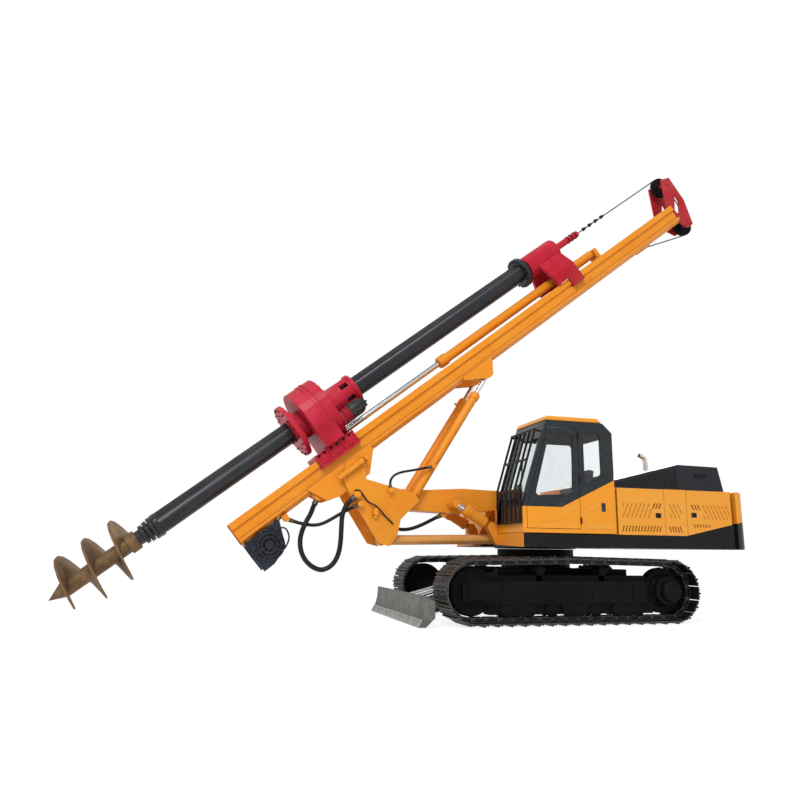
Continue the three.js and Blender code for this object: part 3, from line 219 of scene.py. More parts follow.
def make_floor():
    """The white floor, which keeps the shadow."""
    mesh = bpy.data.meshes.new("floor")
    half = FLOOR_SIZE / 2
    corners = [(-half, -half, 0), (half, -half, 0), (half, half, 0), (-half, half, 0)]
    mesh.from_pydata(corners, [], [(0, 1, 2, 3)])
    mesh.materials.append(stage_material("floor_white", FLOOR_WHITE))
    floor = bpy.data.objects.new("floor", mesh)
    bpy.context.scene.collection.objects.link(floor)


def make_world():
    """A pale sky for light, and plain white behind the object."""
    world = bpy.data.worlds.new("studio")
    world.use_nodes = True
    tree = world.node_tree
    tree.nodes.clear()
    place = node(tree, "TexCoord").outputs["Generated"]
    height = node(tree, "SeparateXYZ", {0: place}).outputs["Z"]
    sky = mix(tree, between(tree, height, -0.2, 0.9), (0.80, 0.80, 0.80), (0.97, 0.98, 1.0))
    light = node(tree, "Background", {"Color": sky, "Strength": SKY_LIGHT}).outputs[0]
    white = node(tree, "Background", {"Color": (1, 1, 1, 1), "Strength": 1.0}).outputs[0]
    rays = node(tree, "LightPath").outputs
    seen = calc(tree, "MAXIMUM", rays["Is Camera Ray"], rays["Is Transmission Ray"])
    node(tree, "OutputWorld", {0: blended(tree, seen, light, white)})
    bpy.context.scene.world = world


def make_lamp(name, at, target, size, power):
    """A round area lamp, in metres and watts, aimed at a target."""
    data = bpy.data.lights.new(name, "AREA")
    data.shape = "DISK"
    data.size = size
    data.energy = power
    lamp = bpy.data.objects.new(name, data)
    lamp.location = at
    lamp.rotation_euler = (Vector(target) - Vector(at)).to_track_quat("-Z", "Y").to_euler()
    bpy.context.scene.collection.objects.link(lamp)


make_floor()
make_world()
make_lamp("key", (-9, -13, 14), (-1, 0, 2), 6, 1700)
make_lamp("fill", (9, 12, 10), (0, 0, 2), 8, 900)
bpy.context.scene.view_settings.view_transform = "Standard"


# ---- Materials ----

YELLOW = (0.78, 0.285, 0.012)
ORANGE = (0.74, 0.235, 0.009)
RED = (0.40, 0.006, 0.018)
FADED_RED = (0.52, 0.030, 0.060)
BLACK = (0.009, 0.009, 0.010)
RUST = (0.16, 0.06, 0.022)
DUST = (0.34, 0.29, 0.23)
BARE_STEEL = (0.33, 0.32, 0.30)


def edge_mask(tree, radius):
    """1 where the surface turns sharply within the radius, and 0 on its flats."""
    turned = node(tree, "Bevel", {"Radius": radius}, samples=4).outputs[0]
    straight = node(tree, "NewGeometry").outputs["Normal"]
    likeness = node(tree, "VectorMath", {0: turned, 1: straight}, operation="DOT_PRODUCT").outputs["Value"]
    return between(tree, likeness, 0.985, 0.80)


def corner_shade_mask(tree, distance):
    """1 deep in a corner, where shade falls, and 0 in the open; used to paint shade."""
    open_share = node(tree, "AmbientOcclusion", {"Distance": distance}, samples=4).outputs["AO"]
    return between(tree, open_share, 0.75, 0.25)


def upward_mask(tree):
    """1 on what faces up, and 0 on walls and undersides."""
    normal = node(tree, "NewGeometry").outputs["Normal"]
    up = node(tree, "SeparateXYZ", {0: normal}).outputs["Z"]
    return between(tree, up, 0.45, 0.95)


def bumped(tree, place, fine_scale, strength, distance=0.002):
    """A normal roughened by fine noise."""
    fine = noise(tree, place, fine_scale, 6.0)
    return node(tree, "Bump", {"Height": fine, "Strength": strength, "Distance": distance}).outputs[0]


def surface(tree, colour, roughness, normal, **plain):
    """The shader at the end of a material; plain holds its uniform values."""
    sockets = {"Base Color": colour, "Roughness": roughness, "Normal": normal}
    extra = {key.replace("_", " "): value for key, value in plain.items()}
    shader = node(tree, "BsdfPrincipled", {**sockets, **extra})
    node(tree, "OutputMaterial", {0: shader.outputs[0]})
    return shader


def two_tone(tree, place, upper, lower, line):
    """The lower colour under a height of level + slope * (x - start), and the upper one above it."""
    start, level, slope = line
    axes = node(tree, "SeparateXYZ", {0: place}).outputs
    along = calc(tree, "MAXIMUM", calc(tree, "SUBTRACT", axes["X"], start), 0.0)
    edge = calc(tree, "MULTIPLY_ADD", along, slope, level)
    return mix(tree, calc(tree, "GREATER_THAN", axes["Z"], edge), lower, upper)


def paint(name, colour, faded, roughness=0.34, wear=0.55, dust=0.35, chip=BARE_STEEL, lower=None, line=None,
          coat=0.25, shine=0.30):
    """Sprayed machine paint: faded in patches, chipped on its edges, dusty on top, with shade painted dark
    brown into its corners.
    """
    material, tree, place = textured(name)
    patches = noise(tree, place, 1.7, 5.0)
    spots = noise(tree, place, 38.0, 8.0, 0.7)
    base = mix(tree, between(tree, patches, 0.35, 0.75), colour, faded)
    if lower is not None:
        base = two_tone(tree, place, base, lower, line)
    # Painted shade: corners darkened towards dark brown by an occlusion mask.
    corner_shade = times(tree, corner_shade_mask(tree, 0.09), 0.30)
    base = mix(tree, corner_shade, base, (0.035, 0.025, 0.018))
    dusty = times(tree, times(tree, upward_mask(tree), between(tree, patches, 0.3, 0.8)), dust)
    base = mix(tree, dusty, base, DUST)
    chips = times(tree, times(tree, edge_mask(tree, 0.010), between(tree, spots, 0.50, 0.62)), wear)
    base = mix(tree, chips, base, chip)
    scuffed = calc(tree, "MULTIPLY_ADD", between(tree, spots, 0.2, 0.9), 0.22, roughness - 0.08)
    surface(tree, base, scuffed, bumped(tree, place, 55.0, 0.10), Metallic=0.0, Coat_Weight=coat,
            Specular_IOR_Level=shine, Coat_Roughness=0.18)
    return material


def worn_metal(name, colour, other, roughness, metallic, rust=0.3, scale=9.0, bump=0.35):
    """Bare or oxidised steel with rust patches and scratches, and shade painted darker into its corners."""
    material, tree, place = textured(name)
    broad = noise(tree, place, scale, 8.0, 0.65)
    fine = noise(tree, place, scale * 9, 6.0, 0.7)
    base = mix(tree, between(tree, broad, 0.35, 0.7), colour, other)
    base = mix(tree, times(tree, between(tree, fine, 0.52, 0.70), rust), base, RUST)
    # Painted shade: corners darkened towards near black by an occlusion mask.
    base = mix(tree, times(tree, corner_shade_mask(tree, 0.05), 0.5), base, (0.02, 0.016, 0.013))
    rough = calc(tree, "MULTIPLY_ADD", fine, 0.35, roughness - 0.15)
    surface(tree, base, rough, bumped(tree, place, scale * 6, bump), Metallic=metallic)
    return material


def track_steel():
    """Dark track steel whose outermost edges are rubbed bright."""
    material, tree, place = textured("track_steel")
    broad = noise(tree, place, 7.0, 8.0, 0.65)
    fine = noise(tree, place, 70.0, 6.0, 0.7)
    base = mix(tree, between(tree, broad, 0.35, 0.7), (0.007, 0.007, 0.007), (0.018, 0.016, 0.014))
    base = mix(tree, times(tree, between(tree, broad, 0.55, 0.8), 0.5), base, (0.040, 0.032, 0.024))
    rubbed = times(tree, edge_mask(tree, 0.012), between(tree, fine, 0.35, 0.6))
    base = mix(tree, rubbed, base, (0.42, 0.40, 0.37))
    surface(tree, base, 0.5, bumped(tree, place, 60.0, 0.35), Metallic=0.55)
    return material


def chrome():
    """Polished rod with faint streaks of oil."""
    material, tree, place = textured("chrome_rod")
    streaks = noise(tree, place, 25.0, 5.0)
    base = mix(tree, between(tree, streaks, 0.45, 0.75), (0.74, 0.76, 0.78), (0.52, 0.50, 0.47))
    rough = calc(tree, "MULTIPLY_ADD", streaks, 0.22, 0.03)
    surface(tree, base, rough, bumped(tree, place, 90.0, 0.03), Metallic=1.0)
    return material


def rubber(name, colour, ribbed=0.0):
    """Dull black rubber or plastic, paler where it is worn."""
    material, tree, place = textured(name)
    broad = noise(tree, place, 11.0, 6.0)
    base = mix(tree, between(tree, broad, 0.4, 0.75), colour, tuple(2.2 * part + 0.01 for part in colour))
    rough = calc(tree, "MULTIPLY_ADD", broad, 0.25, 0.36)
    surface(tree, base, rough, bumped(tree, place, 140.0, 0.15 + ribbed), Metallic=0.0,
            Specular_IOR_Level=0.25)
    return material


def glass():
    """Clear pane with a thin film of dust, glossy on its outer side only."""
    material, tree, place = textured("cab_glass")
    haze = between(tree, noise(tree, place, 3.0, 6.0), 0.35, 0.8)
    clear = node(tree, "BsdfTransparent", {"Color": (0.955, 0.97, 0.975, 1)}).outputs[0]
    shine = node(tree, "BsdfGlossy", {"Color": (0.95, 0.97, 1, 1), "Roughness": 0.03}).outputs[0]
    film = node(tree, "BsdfDiffuse", {"Color": (0.30, 0.31, 0.30, 1)}).outputs[0]
    outside = calc(tree, "SUBTRACT", 1.0, node(tree, "NewGeometry").outputs["Backfacing"])
    gloss_share = times(tree, node(tree, "Fresnel", {"IOR": 1.5}).outputs[0], outside)
    pane = blended(tree, gloss_share, clear, shine)
    node(tree, "OutputMaterial", {0: blended(tree, times(tree, haze, 0.05), pane, film)})
    return material


YELLOW_FADED = (0.74, 0.33, 0.035)
ORANGE_FADED = (0.76, 0.29, 0.022)
SKIRT_LINE = (1.845, 1.2645, 0.216)  # where the black band starts to rise, its height, its slope
yellow = paint("yellow_paint", YELLOW, YELLOW_FADED)
yellow_black = paint("yellow_over_black", YELLOW, YELLOW_FADED, lower=BLACK, line=SKIRT_LINE)
orange = paint("orange_paint", ORANGE, ORANGE_FADED, roughness=0.42, wear=0.10, dust=0.15, coat=0.05,
               shine=0.20)
red = paint("red_paint", RED, FADED_RED, roughness=0.38, wear=0.2, dust=0.12, chip=(0.5, 0.3, 0.3),
            coat=0.03, shine=0.12)
navy = paint("navy_gloss", (0.006, 0.008, 0.012), (0.011, 0.013, 0.018), roughness=0.20, wear=0.25,
             dust=0.04, coat=0.25, shine=0.25)
black = paint("black_satin", (0.004, 0.004, 0.005), (0.008, 0.008, 0.009), roughness=0.40, wear=0.25,
              dust=0.06, coat=0.10, shine=0.15)
dark = paint("dark_underframe", (0.0035, 0.0036, 0.0042), (0.008, 0.008, 0.009), roughness=0.55, wear=0.5,
             dust=0.03, chip=(0.09, 0.09, 0.09), coat=0.0, shine=0.08)
winch_blue = paint("winch_blue", (0.008, 0.012, 0.026), (0.022, 0.026, 0.040), roughness=0.4, wear=0.6,
                   dust=0.2, coat=0.1, shine=0.2)
blade_steel = worn_metal("blade_steel", (0.105, 0.103, 0.095), (0.20, 0.195, 0.18), 0.5, 0.7, rust=0.25,
                         scale=5.0)
bright_steel = worn_metal("bright_steel", (0.42, 0.41, 0.39), (0.25, 0.24, 0.22), 0.35, 0.9, rust=0.3)
rope_steel = worn_metal("rope_steel", (0.13, 0.125, 0.115), (0.06, 0.055, 0.05), 0.5, 0.8, rust=0.35,
                        scale=40.0)
tread = track_steel()
rod_chrome = chrome()
hose_rubber = rubber("hose_rubber", (0.004, 0.004, 0.005))
trim_rubber = rubber("trim_rubber", (0.014, 0.014, 0.015))
plastic = rubber("cab_plastic", (0.028, 0.028, 0.030))
cab_glass = glass()


# ---- Mesh helpers ----

SMOOTH_BELOW = math.radians(33)
SHARP_ABOVE = math.radians(36)


def link(name, mesh, materials, body, smooth=SMOOTH_BELOW):
    """A piece from a mesh, with its materials, riding on a body."""
    for material in materials if isinstance(materials, (list, tuple)) else [materials]:
        mesh.materials.append(material)
    mesh.polygons.foreach_set("use_smooth", [True] * len(mesh.polygons))
    mesh.set_sharp_from_angle(angle=smooth)
    piece = bpy.data.objects.new(name, mesh)
    bpy.context.scene.collection.objects.link(piece)
    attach(piece, body)
    return piece


def finish_mesh(name, shape, material, body, place=None, smooth=SMOOTH_BELOW):
    """Turns a bmesh, drawn in the frame of the matrix place, into a piece on a body."""
    if place is not None:
        shape.transform(place)
    bmesh.ops.recalc_face_normals(shape, faces=shape.faces)
    mesh = bpy.data.meshes.new(name)
    shape.to_mesh(mesh)
    shape.free()
    return link(name, mesh, material, body, smooth)


def soften(piece, width, segments=2):
    """Rounds a piece's sharp edges."""
    bevel = piece.modifiers.new("soft_edges", "BEVEL")
    bevel.width = width
    bevel.segments = segments
    bevel.limit_method = "ANGLE"
    bevel.angle_limit = SHARP_ABOVE
    bevel.use_clamp_overlap = True
    bevel.harden_normals = True
    return piece


# Nodes whose flat faces have holes in them, which one whole face can't hold.
HOLED = ("cab_shell", "rotary_gearbox", "rotary_sledge", "kelly_guide", "drive_sleeve", "kelly_outer",
         "platform", "mast_frame", "winch_frame", "crown_head")


def welded_copy(node_name):
    """A CAD node's mesh with its triangles joined back into whole flat faces."""
    shape = bmesh.new()
    shape.from_mesh(frame["nodes"][node_name].data)
    bmesh.ops.remove_doubles(shape, verts=shape.verts, dist=2e-5)
    if node_name not in HOLED:
        bmesh.ops.dissolve_limit(shape, angle_limit=math.radians(0.4), verts=shape.verts, edges=shape.edges,
                                 delimit={"NORMAL"})
    return shape


def stand_in(node_name, shape, materials, width, segments):
    """A piece that takes a CAD node's place, with its edges softened."""
    mesh = bpy.data.meshes.new(node_name + "_finished")
    shape.to_mesh(mesh)
    shape.free()
    piece = link(node_name + "_finished", mesh, materials, frame["nodes"][node_name]["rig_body"])
    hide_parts(node_name)
    return soften(piece, width, segments)


def refine(node_name, material, width=0.006, segments=2):
    """A CAD node's shape with soft edges, smooth round faces and a real finish."""
    return stand_in(node_name, welded_copy(node_name), material, width, segments)


def refine_split(node_name, materials, pick, place=None, width=0.006, segments=2):
    """refine(), with each face's material chosen by pick(face centre, normal) in the frame of place."""
    shape = welded_copy(node_name)
    local = (place or Matrix.Identity(4)).inverted()
    turn = local.to_3x3()
    for face in shape.faces:
        face.material_index = pick(local @ face.calc_center_median(), turn @ face.normal)
    return stand_in(node_name, shape, materials, width, segments)


def fit(name, parts, material, body, place=None, soft=0.0, segments=2, smooth=SMOOTH_BELOW):
    """Several shapes as one piece on a body, with its edges rounded where soft is given."""
    piece = finish_mesh(name, joined(parts), material, body, place, smooth)
    return soften(piece, soft, segments) if soft else piece


def lathe(profile, sides=48):
    """A closed turning about x through (x, radius) points; points on the axis close its ends."""
    shape = bmesh.new()
    angles = [2 * math.pi * i / sides for i in range(sides)]
    rings = []
    for x, radius in profile:
        around = angles if radius > 1e-6 else [0.0]
        rings.append([shape.verts.new((x, radius * math.cos(a), radius * math.sin(a))) for a in around])
    closed = len(rings[0]) > 1
    for first, second in zip(rings, rings[1:] + rings[:1] if closed else rings[1:]):
        for i in range(sides):
            j = (i + 1) % sides
            corners = [first[i % len(first)], first[j % len(first)]]
            corners += [second[j % len(second)], second[i % len(second)]]
            corners = list(dict.fromkeys(corners))
            if len(corners) > 2:
                shape.faces.new(corners)
    return shape


def bar(start, end, radius, sides=48):
    """A round bar along x."""
    return lathe([(start, 0), (start, radius), (end, radius), (end, 0)], sides)


def prism(outline, low, high, axis="y"):
    """An outline in the plane across an axis, drawn out along it from low to high."""
    order = {"x": (1, 2, 0), "y": (0, 2, 1), "z": (0, 1, 2)}[axis]
    shape = bmesh.new()

    def corner(*values):
        """A vertex from its two outline values and its place along the axis."""
        place = [0.0, 0.0, 0.0]
        for value, index in zip(values, order):
            place[index] = value
        return shape.verts.new(place)

    first = [corner(a, b, low) for a, b in outline]
    second = [corner(a, b, high) for a, b in outline]
    shape.faces.new(first)
    shape.faces.new(second)
    for i in range(len(outline)):
        j = (i + 1) % len(outline)
        shape.faces.new([first[i], first[j], second[j], second[i]])
    bmesh.ops.recalc_face_normals(shape, faces=shape.faces)
    return shape


def box(low, high):
    """A block between two corners."""
    (x0, y0, z0), (x1, y1, z1) = low, high
    return prism([(x0, z0), (x1, z0), (x1, z1), (x0, z1)], y0, y1)


def joined(shapes):
    """Several bmeshes as one."""
    whole = bmesh.new()
    for shape in shapes:
        mesh = bpy.data.meshes.new("part")
        shape.to_mesh(mesh)
        shape.free()
        whole.from_mesh(mesh)
        bpy.data.meshes.remove(mesh)
    return whole


def moved(shape, matrix):
    """The shape itself, after the matrix has moved it."""
    shape.transform(matrix)
    return shape


def at(x, y, z):
    """A matrix that only moves."""
    return Matrix.Translation((x, y, z))


def facing(direction, place):
    """A matrix that turns +X towards a direction, at a place."""
    turn = Vector(direction).to_track_quat("X", "Z").to_matrix().to_4x4()
    return Matrix.Translation(place) @ turn


def across(shape, x, y, z):
    """Turns a shape about x into one about y, at a place."""
    return moved(shape, facing((0, 1, 0), (x, y, z)))


def upright(shape, x, y, z):
    """Turns a shape about x into one about z, at a place."""
    return moved(shape, facing((0, 0, 1), (x, y, z)))


def bolt(radius, height):
    """A hexagon head on its washer, standing along +X."""
    washer = lathe([(0, 0), (0, radius * 1.5), (height * 0.25, radius * 1.45), (height * 0.25, 0)], 16)
    head = lathe([(0, 0), (0, radius), (height * 0.9, radius), (height, radius * 0.8), (height, 0)], 6)
    return joined([washer, head])


def bolts(places, direction, radius=0.014, height=0.014):
    """One bolt head at each place, all pointing one way."""
    return joined([moved(bolt(radius, height), facing(direction, place)) for place in places])


def ring_of(count, radius, centre):
    """Points on a circle across y."""
    angles = [2 * math.pi * i / count for i in range(count)]
    x, y, z = centre
    return [(x + radius * math.cos(a), y, z + radius * math.sin(a)) for a in angles]


def circle_of(count, radius, x):
    """Points on a circle about the x axis."""
    angles = [2 * math.pi * i / count for i in range(count)]
    return [(x, radius * math.cos(a), radius * math.sin(a)) for a in angles]


def ring(start, end, inner, outer, sides=48):
    """A flat ring about the x axis with broken edges."""
    edge = min(0.004, (end - start) / 3)
    return lathe([(start, inner), (start, outer - edge), (start + edge, outer), (end - edge, outer),
                  (end, outer - edge), (end, inner)], sides)


def smooth_path(points, steps=10):
    """A smooth line through points, as a list of vectors."""
    inner = [Vector(point) for point in points]
    ends = [2 * inner[0] - inner[1], *inner, 2 * inner[-1] - inner[-2]]
    line = []
    for a, b, c, d in zip(ends, ends[1:], ends[2:], ends[3:]):
        for i in range(steps):
            t = i / steps
            line.append(0.5 * (2 * b + (c - a) * t + (2 * a - 5 * b + 4 * c - d) * t * t
                               + (3 * b - a - 3 * c + d) * t ** 3))
    return line + [inner[-1]]


def tube(line, radius, sides=12):
    """A round bar along a line of vectors, closed at both ends."""
    shape = bmesh.new()
    rings = []
    heading = (line[1] - line[0]).normalized()
    side = heading.orthogonal().normalized()
    for i, point in enumerate(line):
        onward = (line[min(i + 1, len(line) - 1)] - line[max(i - 1, 0)]).normalized()
        side = (side - side.dot(onward) * onward).normalized()
        up = onward.cross(side)
        wide = radius[i] if isinstance(radius, list) else radius
        rings.append([
            shape.verts.new(point + wide * (math.cos(a) * side + math.sin(a) * up))
            for a in (2 * math.pi * k / sides for k in range(sides))
        ])
    for first, second in zip(rings, rings[1:]):
        for i in range(sides):
            j = (i + 1) % sides
            shape.faces.new([first[i], first[j], second[j], second[i]])
    shape.faces.new(rings[0])
    shape.faces.new(rings[-1])
    return shape


# ---- Undercarriage ----

TRACK_MIDDLE = 1.08  # from the centre line
TRACK_WIDTH = 0.60
WHEEL_X = 1.54
AXLE_Z = 0.46
PLATE_RADIUS = 0.43  # from the end wheels' axes to the shoe plates
CROWN = 0.03  # how far the upper run rises in its middle
SHOES = 44
SHOE_PITCH_GAP = 0.006  # from a shoe's edge to half its pitch
SIDES = ((-1, "left"), (1, "right"))


def track_line():
    """The corners of the shoe plates' line, in order around the track."""
    corners = [Vector((-WHEEL_X, 0, AXLE_Z - PLATE_RADIUS)), Vector((WHEEL_X, 0, AXLE_Z - PLATE_RADIUS))]
    corners += [wheel_point(WHEEL_X, turn) for turn in range(-88, 89, 4)]
    corners += [Vector((WHEEL_X, 0, AXLE_Z + PLATE_RADIUS)), Vector((0, 0, AXLE_Z + PLATE_RADIUS + CROWN))]
    corners += [Vector((-WHEEL_X, 0, AXLE_Z + PLATE_RADIUS))]
    corners += [wheel_point(-WHEEL_X, turn) for turn in range(92, 269, 4)]
    return corners


def wheel_point(x, turn):
    """A point of the shoe line around an end wheel, at an angle in degrees."""
    angle = math.radians(turn)
    return Vector((x + PLATE_RADIUS * math.cos(angle), 0, AXLE_Z + PLATE_RADIUS * math.sin(angle)))


def shoe_places():
    """One matrix per shoe: x along the track, z out of it."""
    corners = track_line()
    ends = corners[1:] + corners[:1]
    lengths = [(b - a).length for a, b in zip(corners, ends)]
    pitch = sum(lengths) / SHOES
    places = []
    for i in range(SHOES):
        left = (i + 0.5) * pitch
        for a, b, length in zip(corners, ends, lengths):
            if left <= length:
                heading = (b - a).normalized()
                outward = Vector((heading.z, 0, -heading.x))
                sideways = outward.cross(heading)
                turn = Matrix((heading, sideways, outward)).transposed().to_4x4()
                places.append(Matrix.Translation(a.lerp(b, left / length)) @ turn)
                break
            left -= length
    return places, pitch


def shoe(pitch):
    """A track shoe with three ridges, its bolts and the two links behind it."""
    half = pitch / 2 - SHOE_PITCH_GAP
    ridges = [(-half, -0.016), (-half, 0), (-0.062, 0), (-0.056, 0.016), (-0.046, 0.016), (-0.040, 0),
              (-0.016, 0), (-0.010, 0.029), (0.010, 0.029), (0.016, 0), (0.040, 0), (0.046, 0.016),
              (0.056, 0.016), (0.062, 0), (half, 0), (half, -0.016)]
    wide = TRACK_WIDTH / 2
    plate = prism(ridges, -wide, wide)
    chain = [(-half - 0.02, -0.030), (-0.03, -0.016), (half - 0.02, -0.016), (half + 0.02, -0.045),
             (half - 0.01, -0.082), (-half + 0.02, -0.082), (-half - 0.02, -0.065)]
    parts = [plate]
    for side in (-1, 1):
        near, far = sorted((side * 0.065, side * 0.105))
        parts.append(prism(chain, near, far))
        heads = [(x, side * 0.085, 0.0) for x in (-0.030, 0.030)]
        parts.append(bolts(heads, (0, 0, 1), 0.012, 0.012))
    parts.append(across(bar(-0.11, 0.11, 0.02, 10), half, 0, -0.055))
    return joined(parts)


def make_tracks():
    """Both tracks, with every shoe in its place."""
    places, pitch = shoe_places()
    pattern = bpy.data.meshes.new("shoe")
    one = shoe(pitch)
    one.to_mesh(pattern)
    one.free()
    for side, name in SIDES:
        whole = bmesh.new()
        for place in places:
            before = len(whole.verts)
            whole.from_mesh(pattern)
            whole.verts.ensure_lookup_table()
            bmesh.ops.transform(whole, matrix=place, verts=whole.verts[before:])
        piece = finish_mesh("track_shoes_" + name, whole, tread, "undercarriage",
                            at(0, side * TRACK_MIDDLE, 0))
        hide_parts("track_" + name)
        soften(piece, 0.0025, 1)
    bpy.data.meshes.remove(pattern)


LINK_RAIL = 0.085  # how far the rollers' rails stand in from the shoe plates
BEAM_HALF = 0.15
BEAM_LOW = 0.28
BEAM_TOP = 0.60
ROLLERS = 7
ROLLER_REACH = 1.045
STIFFENERS = (-1.10, -0.42, 0.28, 0.95)
ROLLER_GUARDS = (-0.87, 0.0, 0.87)


def roller(radius, half, flange):
    """A track roller along x, waisted in its middle and flanged outside its rails."""
    right = [(0.03, radius * 0.8), (0.035, radius), (half - 0.045, radius), (half - 0.04, radius + flange),
             (half - 0.02, radius + flange), (half, radius * 0.62), (half, 0)]
    left = [(-x, across_x) for x, across_x in reversed(right)]
    return lathe(left + right, 32)


def beam_parts(side, rail, end):
    """The welded beam, its upper and lower rails and the plate that carries the drive."""
    nose = -WHEEL_X - 0.16
    outline = [(nose, BEAM_LOW + 0.05), (-1.15, BEAM_LOW), (end - 0.04, BEAM_LOW), (end, BEAM_LOW + 0.05),
               (end, BEAM_TOP - 0.04), (end - 0.09, BEAM_TOP), (-1.15, BEAM_TOP), (nose, BEAM_TOP - 0.04)]
    inner, outer = sorted((-side * BEAM_HALF, -side * (BEAM_HALF - 0.05)))
    return [
        prism(outline, -BEAM_HALF, BEAM_HALF),
        box((-1.50, -0.05, BEAM_TOP - 0.02), (1.22, 0.05, AXLE_Z + rail - 0.13)),
        box((-1.30, -0.10, AXLE_Z - rail + 0.03), (1.30, 0.10, BEAM_LOW + 0.02)),
        across(bar(-0.02, 0.02, 0.33), WHEEL_X, -side * 0.075, AXLE_Z),
        box((end - 0.06, inner, BEAM_LOW + 0.02), (WHEEL_X + 0.17, outer, BEAM_TOP)),
    ]


def track_wheels(rail):
    """The track rollers below, the return rollers on their posts above, and the idler wheel."""
    parts = []
    for i in range(ROLLERS):
        x = -ROLLER_REACH + 2 * ROLLER_REACH * i / (ROLLERS - 1)
        parts.append(across(roller(0.085, 0.145, 0.012), x, 0, AXLE_Z - rail + 0.09))
    for x in (-0.5, 0.5):
        parts.append(across(roller(0.060, 0.12, 0.010), x, 0, AXLE_Z + rail - 0.052))
        parts.append(box((x - 0.05, -0.05, BEAM_TOP - 0.02), (x + 0.05, 0.05, AXLE_Z + rail - 0.07)))
    right = [(0.03, rail - 0.008), (0.035, rail - 0.030), (0.09, rail - 0.035), (0.09, rail - 0.05),
             (0.07, rail - 0.07), (0.07, 0.16), (0.10, 0.16), (0.10, 0)]
    left = [(-x, radius) for x, radius in reversed(right)]
    parts.append(across(lathe(left + right, 64), -WHEEL_X, 0, AXLE_Z))
    return parts


def track_frame(side):
    """The beam inside a track with its rollers, idler wheel, guards and drive plate."""
    rail = PLATE_RADIUS - LINK_RAIL
    end = WHEEL_X - rail - 0.01
    parts = beam_parts(side, rail, end) + track_wheels(rail)
    parts.append(frame_detail(side, side * BEAM_HALF, end))
    return joined(parts)


def frame_detail(side, face, end):
    """Stiffening edges, inspection covers, roller guards and a lifting eye on the beam's outer face."""
    near, far = sorted((face - side * 0.002, face + side * 0.014))
    parts = [box((-1.14, near, BEAM_TOP - 0.045), (end - 0.10, far, BEAM_TOP - 0.02)),
             box((-1.14, near, BEAM_LOW + 0.02), (end - 0.06, far, BEAM_LOW + 0.05))]
    parts += [box((x, near, BEAM_LOW + 0.05), (x + 0.02, far, BEAM_TOP - 0.045)) for x in STIFFENERS]
    cover = [(-1.62, 0.36), (-1.20, 0.33), (-1.20, 0.57), (-1.62, 0.53)]
    parts.append(prism(cover, *sorted((face - side * 0.002, face + side * 0.035))))
    heads = [(x, face + side * 0.035, z) for x in (-1.58, -1.24) for z in (0.39, 0.50)]
    heads += [(x, face, 0.44) for x in (-0.75, 0.62, 0.72)]
    parts.append(bolts(heads, (0, side, 0), 0.013, 0.012))
    guard_span = sorted((face - side * 0.03, face - side * 0.008))
    for x in ROLLER_GUARDS:
        guard = [(x - 0.17, 0.13), (x + 0.17, 0.13), (x + 0.20, 0.285), (x - 0.20, 0.285)]
        parts.append(prism(guard, *guard_span))
    eye = lathe([(-0.012, 0.018), (-0.012, 0.042), (0.012, 0.042), (0.012, 0.018)], 20)
    parts.append(across(eye, -0.05, 0, BEAM_TOP + 0.03))
    return joined(parts)


TEETH = 21
# Each point's share of a tooth's turn, and its depth below the tip.
TOOTH = ((0.0, 0.032), (0.16, 0.026), (0.34, 0.002), (0.50, 0.0), (0.66, 0.002), (0.84, 0.026))
HUB_INNER = -0.0995
HUB_OUTER = 0.295


def sprocket_shape(side):
    """The toothed rim, its lightened disc and the drive hub with its bolts, facing outwards."""
    tip = PLATE_RADIUS - LINK_RAIL - 0.006
    rim_points = []
    for i in range(TEETH):
        for share, drop in TOOTH:
            angle = 2 * math.pi * (i + share) / TEETH
            rim_points.append(((tip - drop) * math.cos(angle), (tip - drop) * math.sin(angle)))
    hub = [(HUB_INNER, 0), (HUB_INNER, 0.235), (0.06, 0.235), (0.075, 0.215), (0.16, 0.205), (0.175, 0.16),
           (HUB_OUTER - 0.03, 0.15), (HUB_OUTER - 0.012, 0.13), (HUB_OUTER - 0.012, 0.055), (HUB_OUTER, 0.05),
           (HUB_OUTER, 0)]
    outward = (0, side, 0)
    return joined([
        prism(rim_points, -0.028, 0.028),
        moved(lathe(hub, 48), facing(outward, (0, 0, 0))),
        bolts(ring_of(20, 0.222, (0, side * 0.066, 0)), outward, 0.011, 0.014),
        bolts(ring_of(10, 0.105, (0, side * 0.281, 0)), outward, 0.010, 0.012),
    ])


def make_undercarriage():
    """Tracks, their beams and drive wheels, the car body and the slew ring."""
    make_tracks()
    for side, name in SIDES:
        beam = finish_mesh("track_beam_" + name, track_frame(side), dark, "undercarriage",
                           at(0, side * TRACK_MIDDLE, 0))
        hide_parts("track_frame_" + name)
        soften(beam, 0.004)
        wheel = finish_mesh("drive_wheel_" + name, sprocket_shape(side), dark, "undercarriage",
                            at(WHEEL_X, side * TRACK_MIDDLE, AXLE_Z))
        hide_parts("sprocket_" + name)
        soften(wheel, 0.003)
    refine("car_body", dark, 0.008)
    heads = bolts([(x, z, 0.9) for x, _, z in ring_of(32, 0.625, (0, 0, 0))], (0, 0, 1), 0.014, 0.02)
    flange = [(0.86, 0.56), (0.86, 0.66), (0.90, 0.66), (0.90, 0.56)]
    fit("slew_ring_bolts", [heads, lathe_upright(flange)], dark, "undercarriage")


def lathe_upright(profile, sides=64):
    """A turning about the vertical line through the origin, from (z, radius) points."""
    return moved(lathe(profile, sides), Matrix.Rotation(math.radians(-90), 4, "Y"))


